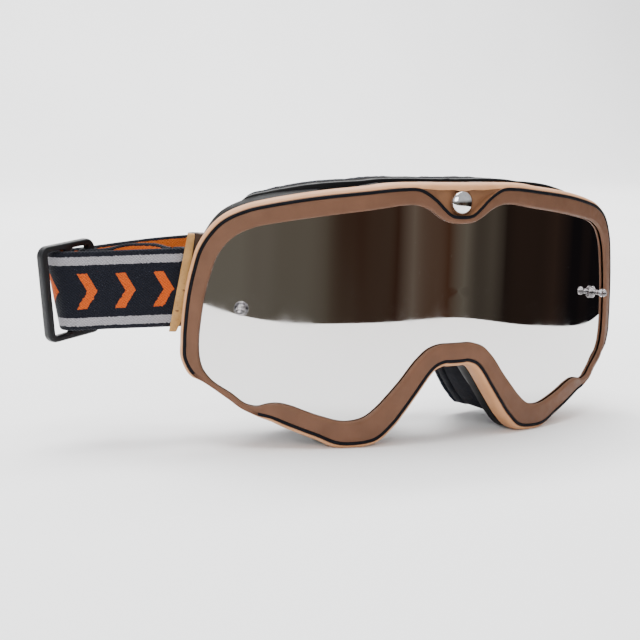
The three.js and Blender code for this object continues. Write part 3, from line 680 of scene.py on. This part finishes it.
# ---- lens ----
LENS_CENTRE = (0, 12)
LENS_SHARES = [0, 0.06, 0.14, 0.22, 0.3, 0.38, 0.46, 0.54, 0.62, 0.7, 0.78, 0.86, 0.93, 1]
edge_line = [[(it.s + it.out[0] * it.lens_edge, it.z + it.out[1] * it.lens_edge)] for it in stations]
edge_line = refine(edge_line, [(it.s, it.z) for it in stations], True)[:, 0]
lens_rows, lens_normals = [], []
for w, shares in ((0.0, LENS_SHARES), (LENS_THICKNESS, LENS_SHARES[::-1])):
    for share in shares:
        line = [(lerp(LENS_CENTRE[0], s, share), lerp(LENS_CENTRE[1], z, share)) for s, z in edge_line]
        lens_rows.append([on_lens(s, z, w) for s, z in line])
        facing_out = 1 if w == 0 else -1
        for s, _ in line:
            angle = s / LENS_RADIUS
            lens_normals.append((facing_out * math.sin(angle), -facing_out * math.cos(angle), 0))
lens = skin("mirror_lens", row(lens_rows), [LENS_MIRROR], sharp=80)
lens.data.normals_split_custom_set_from_vertices(lens_normals)
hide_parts("lens")
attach(lens, "frame")


# ---- turned pieces: tear-off posts and the stud ----
def lathe(name, profile, material, place, parts=56, sharp=40):
    """Turns a profile of (radius, height out of the lens), in mm, about +Z."""
    rows = []
    for k in range(parts):
        angle = math.tau * k / parts
        rows.append([(r * math.cos(angle), r * math.sin(angle), h) for r, h in profile])
    rows = np.array(rows) * 0.001
    count = len(profile)
    vertices = rows.reshape(-1, 3)
    faces = []
    for i in range(parts):
        j = (i + 1) % parts
        for k in range(count - 1):
            faces.append((i * count + k, i * count + k + 1, j * count + k + 1, j * count + k))
    obj = mesh_object(name, vertices, outward(vertices, faces), [material], sharp=sharp)
    obj.data.transform(place)
    return obj


def arc(centre, radius, start, end, count):
    angles = [math.radians(lerp(start, end, k / (count - 1))) for k in range(count)]
    return [(centre[0] + radius * math.cos(a), centre[1] + radius * math.sin(a)) for a in angles]


post_profile = (
    [(0.02, -2.4), (1.25, -2.4), (1.4, -2.25), (1.4, 0.35)]
    + arc((2.0, 0.75), 0.4, -90, 60, 6)
    + [(1.8, 1.35), (1.25, 1.45), (1.0, 1.6), (0.95, 1.9), (0.95, 3.1), (1.0, 3.4)]
    + arc((0, 4.9), BALL, -50, 89.5, 16)
)
for name, side in (("right", -1), ("left", 1)):
    post = lathe(f"{name}_clear_post", post_profile, CLEAR, facing(side * POST_S, POST_Z))
    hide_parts(f"{name}_tearoff_post")
    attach(post, "frame")

floor_level = -RECESS_DEPTH
rim = floor_level + 0.75
foot = floor_level + 0.35
dome_profile = (
    [(0.02, -5.1), (STUD_SHANK, -5.1), (STUD_SHANK, foot), (DOME_RADIUS - 0.4, foot)]
    + arc((DOME_RADIUS - 0.35, floor_level + 0.7), 0.35, -90, 0, 5)
    + [(DOME_RADIUS * math.cos(a), rim + DOME_RISE * math.sin(a))
       for a in np.radians(np.linspace(3, 89.6, 26))]
)
dome = lathe("dome_stud", dome_profile, CHROME, facing(0, STUD_Z), 72)
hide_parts("brow_stud")
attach(dome, "frame")


# ---- rear carrier and the face seal ----
FOAM_SEED = 1
noise.seed_set(FOAM_SEED)       # unseeded, noise_vector differs from run to run


def roughen(points, amount, size, seed):
    """Moves points by smooth noise, in mm."""
    flat = points.reshape(-1, 3)
    shift = np.array([noise.noise_vector(Vector(p) / size + Vector((seed, 0, 0))) for p in flat])
    return (flat + amount * shift).reshape(points.shape)


def seal_section(front, back, radii, crown):
    """A section of the ring seal with crowned sides: crown is how far they stand out (mm)."""
    def section(it):
        a, b = front(it), back(it)
        n0, n1 = it.seal_out, it.seal_in
        mid, width = (a + b) / 2, abs(n0 - n1)
        side = min(crown, 0.2 * abs(b - a))
        corners = [
            (n0 - side, a), (n0, mid), (n0 - side, b),
            (lerp(n0, n1, 0.33), b + crown * 0.3), (lerp(n0, n1, 0.67), b + crown * 0.3),
            (n1 + side, b), (n1, mid), (n1 + side, a),
            (lerp(n0, n1, 0.67), a), (lerp(n0, n1, 0.33), a),
        ]
        reach = [min(radius, width * 0.2) for radius in radii]
        return fillet(corners, reach)
    return section


def carrier_back(it):
    return it.depth + FIT_GAP + CARRIER_DEPTH


def soft_front(it):
    return it.rear - FLEECE_DEPTH - SOFT_FOAM_DEPTH


def fleece_front(it):
    return it.rear - FLEECE_DEPTH


# piece, node, material, slot, crown, roughness, corner radius, front, back, how full of foam
seal_layers = [
    ("carrier_ring", "foam_carrier", CARRIER, "black_plastic", 0.1, 0, 0.4,
     lambda it: it.depth + 0.15, carrier_back, None),
    ("base_foam_ring", "base_foam", BASE_FOAM, "seal_foam", 0.45, 0.12, 0.9,
     lambda it: carrier_back(it) + 0.15, lambda it: soft_front(it) - 0.05, 0.95),
    ("soft_foam_ring", "soft_foam", SOFT_FOAM, "seal_foam", 0.4, 0.12, 1.0,
     lambda it: soft_front(it) + 0.3, lambda it: fleece_front(it) - 0.05, 0.8),
    ("fleece_ring", "fleece_lining", FLEECE, "fleece", 0.25, 0.18, 0.7,
     lambda it: fleece_front(it) + 0.25, lambda it: it.rear, 0.6),
]
for seed, layer in enumerate(seal_layers):
    name, node, material, slot_name, crown, rough, radius, front, back, fill = layer
    section = seal_section(front, back, [radius] * 10, crown)
    rows = ring_rows(section)
    if rough:
        rows = roughen(rows, rough, 1.6, seed * 7)
    piece = skin(name, row(rows), [material], True, sharp=60)
    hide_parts(node)
    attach(piece, "frame")


def vent_foam_section(it):
    top = it.outer - WALL_THICKNESS - FIT_GAP
    return fillet([(top, 4.4), (top, 9), (top - 1.2, 9), (top - 1.2, 4.4)], [0.3] * 4)


over_brow = [it for it in in_order if it.z > 30 and abs(it.s) < 62]
strip_rows = roughen(ring_rows(vent_foam_section, over_brow, False), 0.08, 1.4, 50)
vent_strip = skin("vent_foam_strip", row(strip_rows), [SOFT_FOAM], sharp=60)
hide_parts("brow_vent_foam")
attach(vent_strip, "frame")


# ---- straps: drawn from the hinge pin by (along, inward) ----
class Side:
    def __init__(self, name, side, angle, slack, reach, travel):
        self.name, self.side, self.slack, self.reach, self.travel = name, side, slack, reach, travel
        self.along = np.array([math.cos(angle), math.sin(angle)])
        self.inward = np.array([-side * self.along[1], side * self.along[0]])

    def flat(self, a, b):
        return np.array([self.side * PIN[0], PIN[1]]) + a * self.along + b * self.inward

    def spot(self, a, b, z):
        return np.array([*self.flat(a, b), z])


STRAP_ANGLE = math.radians(28.2)
fold_lag = math.atan2(FOLD_INWARD, FOLD_ALONG)
right = Side("right", -1, math.pi - STRAP_ANGLE, 9, 5.6, 15)
left = Side("left", 1, math.pi - STRAP_ANGLE - 2 * fold_lag, 0, -0.6, 12)
LINE = -(STRAP_THICKNESS / 2 + 1.25)
INNER = -LINE


def strap_middle(along):
    return STRAP_HEIGHT_AT_TAB - STRAP_FALL * max(0, along - 4)


def centripetal(points, step):
    """Points every step mm on a centripetal curve through the given points."""
    points = np.asarray(points, float)
    padded = np.vstack([2 * points[0] - points[1], points, 2 * points[-1] - points[-2]])
    dense = []
    for i in range(1, len(padded) - 2):
        p = padded[i - 1:i + 3]
        d = [max(np.linalg.norm(p[k + 1] - p[k]), 1e-6) ** 0.5 for k in range(3)]
        m1 = (p[1] - p[0]) / d[0] - (p[2] - p[0]) / (d[0] + d[1]) + (p[2] - p[1]) / d[1]
        m2 = (p[2] - p[1]) / d[1] - (p[3] - p[1]) / (d[1] + d[2]) + (p[3] - p[2]) / d[2]
        m1, m2 = m1 * d[1], m2 * d[1]
        for t in np.linspace(0, 1, 30, endpoint=False):
            dense.append((2 * t ** 3 - 3 * t ** 2 + 1) * p[1] + (t ** 3 - 2 * t ** 2 + t) * m1
                         + (-2 * t ** 3 + 3 * t ** 2) * p[2] + (t ** 3 - t ** 2) * m2)
    dense.append(points[-1])
    dense = np.array(dense)
    lengths = np.concatenate([[0], np.cumsum(np.linalg.norm(np.diff(dense, axis=0), axis=1))])
    count = max(2, int(round(lengths[-1] / step)) + 1)
    targets = np.linspace(0, lengths[-1], count)
    columns = [np.interp(targets, lengths, dense[:, k]) for k in range(dense.shape[1])]
    return np.column_stack(columns), targets


def normals_of(line):
    tangent = np.gradient(line[:, :2], axis=0)
    tangent /= np.linalg.norm(tangent, axis=1)[:, None]
    return np.column_stack([-tangent[:, 1], tangent[:, 0]])


ACROSS = 16


def band_rows(line, lengths, normals, middles, lean, seed=0):
    """Rows of a webbing band with rounded edges, its UVs, and which face each column is on."""
    width, half, round_off = STRAP_WIDTH, STRAP_THICKNESS / 2, STRAP_THICKNESS * 0.42
    flat_span = np.linspace(-1, 1, ACROSS)
    edge = [(0.55, 0.93), (0.0, 1.0), (-0.55, 0.93)]
    columns = [(1, t * (width / 2 - round_off)) for t in flat_span]
    columns += [(k, width / 2 - round_off * (1 - q) * 0.9) for k, q in edge]
    columns += [(-1, t * (width / 2 - round_off)) for t in flat_span[::-1]]
    columns += [(-k, -(width / 2 - round_off * (1 - q) * 0.9)) for k, q in edge]
    slots = [0] * (ACROSS + 1) + [1] * (ACROSS + 2) + [0] * 3
    rows, uvs = [], []
    for i, (x, y) in enumerate(line[:, :2]):
        shift = lean[i]
        row_points, row_uv = [], []
        for k, rise in columns:
            ripple = 0.1 * noise.noise(Vector((lengths[i] * 0.16, rise * 0.12, seed)))
            n = normals[i] * (k * half + ripple)
            row_points.append((x + n[0] + rise * shift[0], y + n[1] + rise * shift[1], middles[i] + rise))
            slide = rise * math.hypot(*shift)
            row_uv.append(((lengths[i] + slide) * UV_SCALE, (rise + width / 2) * UV_SCALE))
        rows.append(row_points)
        uvs.append(row_uv)
    return rows, uvs, slots


fold_arc = [right.flat(FOLD_ALONG + FOLD_RADIUS * math.cos(a), FOLD_INWARD + FOLD_RADIUS * math.sin(a))
            for a in np.radians(np.linspace(-90, FOLD_SWEEP - 90, 7))]
TAB_LOOP = [(7.6, INNER), (5.6, INNER), (4.1, INNER - 0.6), (3.55, 0), (4.1, LINE + 0.6), (5.6, LINE),
            (8, LINE), (20, LINE), (30, LINE), (38.8, LINE)]
BEHIND_SLIDER = [(41.6, 11.7), (37, 15.6), (31, 19), (20, 22.8), (9, 26)]
join_left = left.flat(FOLD_ALONG + 0.4, LINE)
strap_path = (
    [right.flat(*p) for p in TAB_LOOP] + fold_arc
    + [right.flat(*p) for p in BEHIND_SLIDER]
    + [np.array([-40, 65]), np.array([0, 65.2]), join_left + [-12, 0.1], join_left]
    + [left.flat(*p) for p in reversed(TAB_LOOP)]
)
strap_line, strap_lengths = centripetal(strap_path, 0.9)
strap_normals = normals_of(strap_line)
fold_x = right.flat(FOLD_ALONG, 0)[0]


def local_to(it, point):
    offset = point[:2] - np.array([it.side * PIN[0], PIN[1]])
    return offset @ it.along, offset @ it.inward


def middle_at(point):
    for it in (right, left):
        a, b = local_to(it, point)
        if abs(b) < 3.4 and a < FOLD_ALONG:
            return strap_middle(a)
    risen = smoothstep(point[0], fold_x, fold_x + RISE_RUN) * (1 - smoothstep(point[0], -20, join_left[0]))
    return strap_middle(FOLD_ALONG) + BACK_RISE * risen


def fold_lean(point):
    a, b = local_to(right, point)
    share = smoothstep(a, 28, 42) if b < FOLD_INWARD else 1 - smoothstep(b, 4, 15)
    return FOLD_LEAN * share * right.along


strap_middles = [middle_at(p) for p in strap_line]
strap_leans = [fold_lean(p) for p in strap_line]
cut = int(np.argmin(np.abs(strap_line[:, 0] + 40) + 100 * (strap_line[:, 1] < 60)))
fold_height = strap_middle(FOLD_ALONG)
halves = [
    ("right_webbing", slice(0, cut + 1), ["right_front_strap"], ("right_run", "back_run"),
     right.spot(FOLD_ALONG, FOLD_INWARD - 3.2, fold_height),
     right.spot(FOLD_ALONG, FOLD_INWARD + 3.6, fold_height)),
    ("left_webbing", slice(cut, len(strap_line)), ["left_front_strap", "back_strap"],
     ("left_run", "back_run"),
     left.spot(FOLD_ALONG - 4, LINE, fold_height),
     left.spot(FOLD_ALONG + 5, 1.2, fold_height)),
]
for name, part, replaced, bodies, start, end in halves:
    whole = (strap_line, strap_lengths, strap_normals, strap_middles, strap_leans)
    rows, uvs, slots = band_rows(*(values[part] for values in whole))
    piece = skin(name, row(rows), [OUTER_WEB, INNER_WEB], False, slots, uvs, sharp=70)
    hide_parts(*replaced)
    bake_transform(piece)

# ---- sliders and the return layers sewn to them ----
BAR_PITCH = (SLIDER_WIDTH - SLIDER_BAR) / 2
SLIDER_BEVEL = 0.7


def bar_at(it, k):
    outer_bar = np.array([FOLD_ALONG + it.reach, LINE - STRAP_THICKNESS / 2 - SLIDER_PLAY - SLIDER_BAR / 2])
    return outer_bar + k * BAR_PITCH * np.array([-math.cos(SLIDER_TURN), math.sin(SLIDER_TURN)])


def rounded_rectangle(width, height, radius, centre=(0, 0), segments=8):
    points = []
    for quarter, (sx, sy) in enumerate(((1, 1), (-1, 1), (-1, -1), (1, -1))):
        cx, cy = centre[0] + sx * (width / 2 - radius), centre[1] + sy * (height / 2 - radius)
        for k in range(segments + 1):
            angle = (quarter + k / segments) * math.pi / 2
            points.append((cx + radius * math.cos(angle), cy + radius * math.sin(angle)))
    return points


def slider_piece(it):
    name = f"{it.name}_buckle"
    curve = bpy.data.curves.new(name, "CURVE")
    curve.dimensions = "2D"
    curve.fill_mode = "BOTH"
    curve.extrude = SLIDER_BAR / 2 - SLIDER_BEVEL
    curve.bevel_depth = SLIDER_BEVEL
    curve.bevel_resolution = 4
    curve.offset = -SLIDER_BEVEL
    gap_width = BAR_PITCH - SLIDER_BAR
    holes = [rounded_rectangle(gap_width, SLIDER_HEIGHT - 2 * SLIDER_RAIL, 1.0, (k * BAR_PITCH / 2, 0), 5)
             for k in (-1, 1)]
    for outline in [rounded_rectangle(SLIDER_WIDTH, SLIDER_HEIGHT, 3.5)] + holes:
        spline = curve.splines.new("POLY")
        spline.points.add(len(outline) - 1)
        for point, (x, y) in zip(spline.points, outline):
            point.co = (x, y, 0, 1)
        spline.use_cyclic_u = True
    drawn = bpy.data.objects.new(name, curve)
    bpy.context.scene.collection.objects.link(drawn)
    mesh = bpy.data.meshes.new_from_object(drawn.evaluated_get(bpy.context.evaluated_depsgraph_get()))
    bpy.data.objects.remove(drawn)
    centre = bar_at(it, 1)
    direction = np.array([-math.cos(SLIDER_TURN), math.sin(SLIDER_TURN)])
    cos, sin = math.cos(SLIDER_LEAN), math.sin(SLIDER_LEAN)
    for vertex in mesh.vertices:
        x, y, z = vertex.co
        x, y = x * cos - y * sin, x * sin + y * cos
        a = centre[0] + x * direction[0] + z * direction[1]
        b = centre[1] + x * direction[1] - z * direction[0]
        vertex.co = row(it.spot(a, b, strap_middle(centre[0]) + y))
    vertices = [tuple(v.co) for v in mesh.vertices]
    faces = [tuple(p.vertices) for p in mesh.polygons]
    return mesh_object(name, vertices, outward(vertices, faces), [SLIDER_BLACK], sharp=35)


bar_lean = math.tan(SLIDER_LEAN)
LEAN_OF_BARS = np.array([bar_lean * math.cos(SLIDER_TURN), -bar_lean * math.sin(SLIDER_TURN)])
SEWN_RADIUS = SLIDER_BAR / 2 + 0.5 + STRAP_THICKNESS / 2
SLIDE_AXES = {"right": (0.8794, -0.4716, 0.0649), "left": (0.8268, -0.5588, 0.0649)}

for it in (right, left):
    buckle = slider_piece(it)
    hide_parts(f"{it.name}_slider")
    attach(buckle, f"{it.name}_buckle")

    end_a, end_b = bar_at(it, 2)
    turns = [(end_a + r * math.cos(math.radians(d)), end_b + r * math.sin(math.radians(d)))
             for d, r in ((-90, SEWN_RADIUS), (-35, SEWN_RADIUS), (20, SEWN_RADIUS), (80, SEWN_RADIUS),
                          (135, SEWN_RADIUS + 0.3))]
    path = [(8.2, INNER), (13, INNER + 0.5 + 0.35 * it.slack), (20, INNER + 1.6 + 0.6 * it.slack)]
    if it.slack:
        path.append((27, INNER + 3.2 + 0.5 * it.slack))
    path += [(end_a - 4, end_b - SEWN_RADIUS + 0.1)] + turns
    local, lengths = centripetal(path, 0.6)
    line = np.array([it.flat(a, b) for a, b in local])
    normals = normals_of(line)
    share = lengths / lengths[-1]
    bow = [RETURN_BOW * smoothstep(t, 0, 0.22) * (1 - smoothstep(t, 0.4, 0.62)) for t in share]
    middles = [strap_middle(a) + rise for (a, _), rise in zip(local, bow)]
    bars = LEAN_OF_BARS[0] * it.along + LEAN_OF_BARS[1] * it.inward
    lean = [bars * smoothstep(t, 0.45, 0.75) for t in share]
    split = int(np.argmax(local[:, 0] > end_a - 4))
    pieces = [("return_layer", slice(0, split + 1)), ("sewn_loop", slice(split, len(line)))]
    for kind, part in pieces:
        whole = (line, lengths, normals, middles, lean)
        rows, uvs, slots = band_rows(*(values[part] for values in whole), seed=9)
        faces_of = [INNER_WEB, OUTER_WEB] if it.side < 0 else [OUTER_WEB, INNER_WEB]
        piece = skin(f"{it.name}_{kind}", row(rows), faces_of, False, slots, uvs, sharp=70)
        if kind == "return_layer":
            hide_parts(f"{it.name}_return_strap")
            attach(piece, f"{it.name}_run")
            anchor = row(it.spot(8.2, INNER, strap_middle(8.2)))
            axis = Vector(SLIDE_AXES[it.name]).normalized()
            reach = abs((Vector(row(it.spot(*local[split], middles[split]))) - Vector(anchor)).dot(axis))
            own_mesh(piece)
        else:
            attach(piece, f"{it.name}_buckle")

# ---- leather tabs ----
TAB_NECK, TAB_WIDE, TAB_LEAN = (2.2, 20.8), (-3.2, 30.6), 0.18
TAB_LEAF = 3.9
TAB_PATH = [(5.3, -TAB_LEAF), (3, -3.85), (1.2, -3.3), (-0.5, -2.2), (-2.2, 0),
            (-0.5, 2.2), (1.2, 3.3), (3, 3.85), (5.3, TAB_LEAF)]
TAB_ROWS = 22


def tab_piece(it):
    local, lengths = centripetal(TAB_PATH, 0.35)
    tangent = np.gradient(local, axis=0)
    tangent /= np.linalg.norm(tangent, axis=1)[:, None]
    half = LEATHER / 2
    rows = []
    for i, (a, b) in enumerate(local):
        t = lengths[i] / lengths[-1]
        flare = smoothstep(a, 1.9, 3) if t < 0.5 else 0
        low, high = lerp(TAB_NECK[0], TAB_WIDE[0], flare), lerp(TAB_NECK[1], TAB_WIDE[1], flare)
        tilt = TAB_LEAN * smoothstep(a, 0, 3)
        normal = (-tangent[i][1] * half, tangent[i][0] * half)
        edge = [(1, 0.22), (0.75, 0.06), (0, 0), (-0.75, 0.06), (-1, 0.22)]
        heights = [(k, low + inset) for k, inset in edge]
        heights += [(-1, lerp(low, high, n / TAB_ROWS)) for n in range(1, TAB_ROWS)]
        heights += [(k, high - inset) for k, inset in reversed(edge)]
        heights += [(1, lerp(high, low, n / TAB_ROWS)) for n in range(1, TAB_ROWS)]
        points = []
        for k, z in heights:
            grain = 0.06 * noise.noise(Vector((a * 0.7, z * 0.7, b * 0.7 + k)))
            n = k * (1 + grain)
            tilted = a - tilt * (z - STRAP_HEIGHT_AT_TAB)
            points.append(it.spot(tilted + n * normal[0], b + n * normal[1], z))
        rows.append(points)
    slots = [1] * 4 + [0] * TAB_ROWS + [1] * 4 + [0] * TAB_ROWS
    return skin(f"{it.name}_tan_tab", row(rows), [TAN_LEATHER, RAW_LEATHER], False, slots, sharp=50)


STITCHES = [((2.1, 18.7), (0.8, 17.7)), ((4.5, 4.2), (3.2, 4.1)), ((3.3, 11.5), (2.4, 10.9))]


def stitch(name, start, end, radius, material, sides=8, rings=7):
    start, end = np.asarray(start), np.asarray(end)
    axis = end - start
    length = np.linalg.norm(axis)
    axis = axis / length
    across = np.cross(axis, [0.3, 0.2, 0.9])
    across /= np.linalg.norm(across)
    other = np.cross(axis, across)
    rows = []
    for k in range(rings):
        t = k / (rings - 1)
        r = radius * (0.25 + 0.75 * math.sin(math.pi * t) ** 0.5) if 0 < t < 1 else radius * 0.2
        ring = [start + axis * length * t + r * (math.cos(a) * across + math.sin(a) * other)
                for a in np.linspace(0, math.tau, sides, endpoint=False)]
        rows.append(ring)
    return skin(name, row(rows), [material])


for it in (right, left):
    tab = tab_piece(it)
    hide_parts(f"{it.name}_leather_tab")
    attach(tab, f"{it.name}_run")
    for k, ((a0, z0), (a1, z1)) in enumerate(STITCHES):
        ends = []
        for a, z in ((a0, z0), (a1, z1)):
            shifted = min(a, 4.5)
            b = np.interp(shifted, [-0.5, 1.2, 3, 4.7], [-2.2, -3.3, -3.85, -TAB_LEAF]) - LEATHER / 2 - 0.05
            ends.append(it.spot(shifted - TAB_LEAN * (z - STRAP_HEIGHT_AT_TAB), b, z))
        thread = stitch(f"{it.name}_stitch_{k}", *ends, 0.28, THREAD)
        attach(thread, f"{it.name}_run")

# ---- CAD nodes that stay, with better finishes ----
KEPT = {
    "right_post_washer": SLIDER_BLACK, "left_post_washer": SLIDER_BLACK, "brow_stud_cap": SLIDER_BLACK,
    "right_strap_bracket": BROWN, "left_strap_bracket": BROWN,
    "right_hinge_pin": STEEL, "left_hinge_pin": STEEL,
    "upper_grip_line": SILICONE, "lower_grip_line": SILICONE,
}
for node, material in KEPT.items():
    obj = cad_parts[node]
    for material_slot in obj.material_slots:
        material_slot.material = material

# ---- floor, backdrop and lights ----
FLOOR_Z = cad_box[0].z
FLOOR_EDGE = [(-1.3, 0.1), (-0.8, -0.14), (-0.5, -0.22), (-0.2, -0.25), (0.0, -0.28), (0.17, -0.25),
              (0.27, -0.11), (0.33, 0.05), (0.5, 0.25), (0.95, 0.72), (1.6, 1.3), (3.0, 1.75)]
BACK_Y, BACK_RADIUS, BACK_TOP = 1.8, 0.6, 2.4
BACK_LEFT, BACK_RIGHT = -1.6, 3.4


def stage_material(name, colour):
    material, tree, shader = new_material(name, 0.75, Specular_IOR_Level=0.2)
    where = object_position(tree)
    cloud = texture(tree, "noise", where, 3.0)
    shade = mix(tree, spread(tree, cloud, 0, 1), srgb(colour), srgb("#f4f4f4"))
    tree.links.new(shade, shader.inputs["Base Color"])
    return material


PALE = stage_material("pale_floor", "#f0f0f0")
edge_curve, _ = centripetal(FLOOR_EDGE, 0.02)
floor_outline = [*edge_curve, (BACK_RIGHT, BACK_Y), (BACK_LEFT, BACK_Y)]
floor_points = [(x, y, FLOOR_Z) for x, y in floor_outline]
ground = mesh_object("floor", floor_points, [tuple(range(len(floor_points)))], [PALE])
sweep = [(BACK_Y, 0)]
sweep += [(BACK_Y + BACK_RADIUS * math.sin(a), BACK_RADIUS * (1 - math.cos(a)))
          for a in np.linspace(0.1, math.pi / 2, 14)]
sweep += [(BACK_Y + BACK_RADIUS, BACK_TOP)]
wall_points = [(x, y, FLOOR_Z + z) for x in (BACK_LEFT, BACK_RIGHT) for y, z in sweep]
steps = len(sweep)
wall_faces = [(k, k + steps, k + steps + 1, k + 1) for k in range(steps - 1)]
backdrop = mesh_object("backdrop", wall_points, wall_faces, [PALE])


def area_light(name, position, target, size, power, colour=(1, 1, 1)):
    data = bpy.data.lights.new(name, "AREA")
    data.shape = "RECTANGLE"
    data.size, data.size_y = size
    data.energy = power
    data.color = colour
    light = bpy.data.objects.new(name, data)
    bpy.context.scene.collection.objects.link(light)
    light.location = position
    light.rotation_euler = (Vector(target) - Vector(position)).to_track_quat("-Z", "Y").to_euler()


area_light("overhead", (-0.1, 0.25, 1.3), (0, 0.05, 0), (1.4, 1.2), 42)
area_light("front_fill", (-0.9, -1.2, 0.75), (0, 0, 0.02), (1.0, 0.8), 14)
area_light("back_wash", (0.9, 1.0, 1.6), (0.9, 1.9, 0.3), (2.6, 0.8), 90)

world = bpy.data.worlds.new("studio")
bpy.context.scene.world = world
world.use_nodes = True
sky = world.node_tree
direction = add(sky, "TexCoord").outputs["Generated"]
across, deep, upward = add(sky, "SeparateXYZ", {0: direction}).outputs
heading = math_node(sky, "ARCTAN2", across, math_node(sky, "MULTIPLY", deep, -1.0))
lowered = math_node(sky, "MULTIPLY", upward, 0.35)
stretched = add(sky, "CombineXYZ", {0: across, 1: deep, 2: lowered}).outputs[0]
panels = add(sky, "TexNoise", {"Vector": stretched, "Scale": 3.2, "Detail": 1.5}).outputs["Fac"]
wander = math_node(sky, "MULTIPLY_ADD", math_node(sky, "SUBTRACT", panels, 0.5), 0.9, heading)
bands = add(sky, "ValToRGB", {0: spread(sky, wander, 0, 1, -0.5, 1.7)})
ramp = bands.color_ramp
ROOM = [(0.0, (0.16, 0.15, 0.125)), (0.17, (0.10, 0.085, 0.065)), (0.27, (0.045, 0.022, 0.014)),
        (0.38, (0.15, 0.12, 0.095)), (0.47, (0.075, 0.036, 0.021)), (0.56, (0.14, 0.125, 0.10)),
        (0.66, (0.022, 0.015, 0.012)), (0.8, (0.035, 0.022, 0.017)), (0.95, (0.008, 0.007, 0.008))]
ramp.elements.remove(ramp.elements[1])
ramp.elements[0].position, ramp.elements[0].color = ROOM[0][0], (*ROOM[0][1], 1)
for place, colour in ROOM[1:]:
    ramp.elements.new(place).color = (*colour, 1)
upper = spread(sky, upward, 0, 1, -0.03, 0.2)
shade = mix(sky, upper, bands.outputs[0], (0.8, 0.81, 0.83, 1))
background = sky.nodes["Background"]
sky.links.new(shade, background.inputs[0])
background.inputs[1].default_value = 0.9
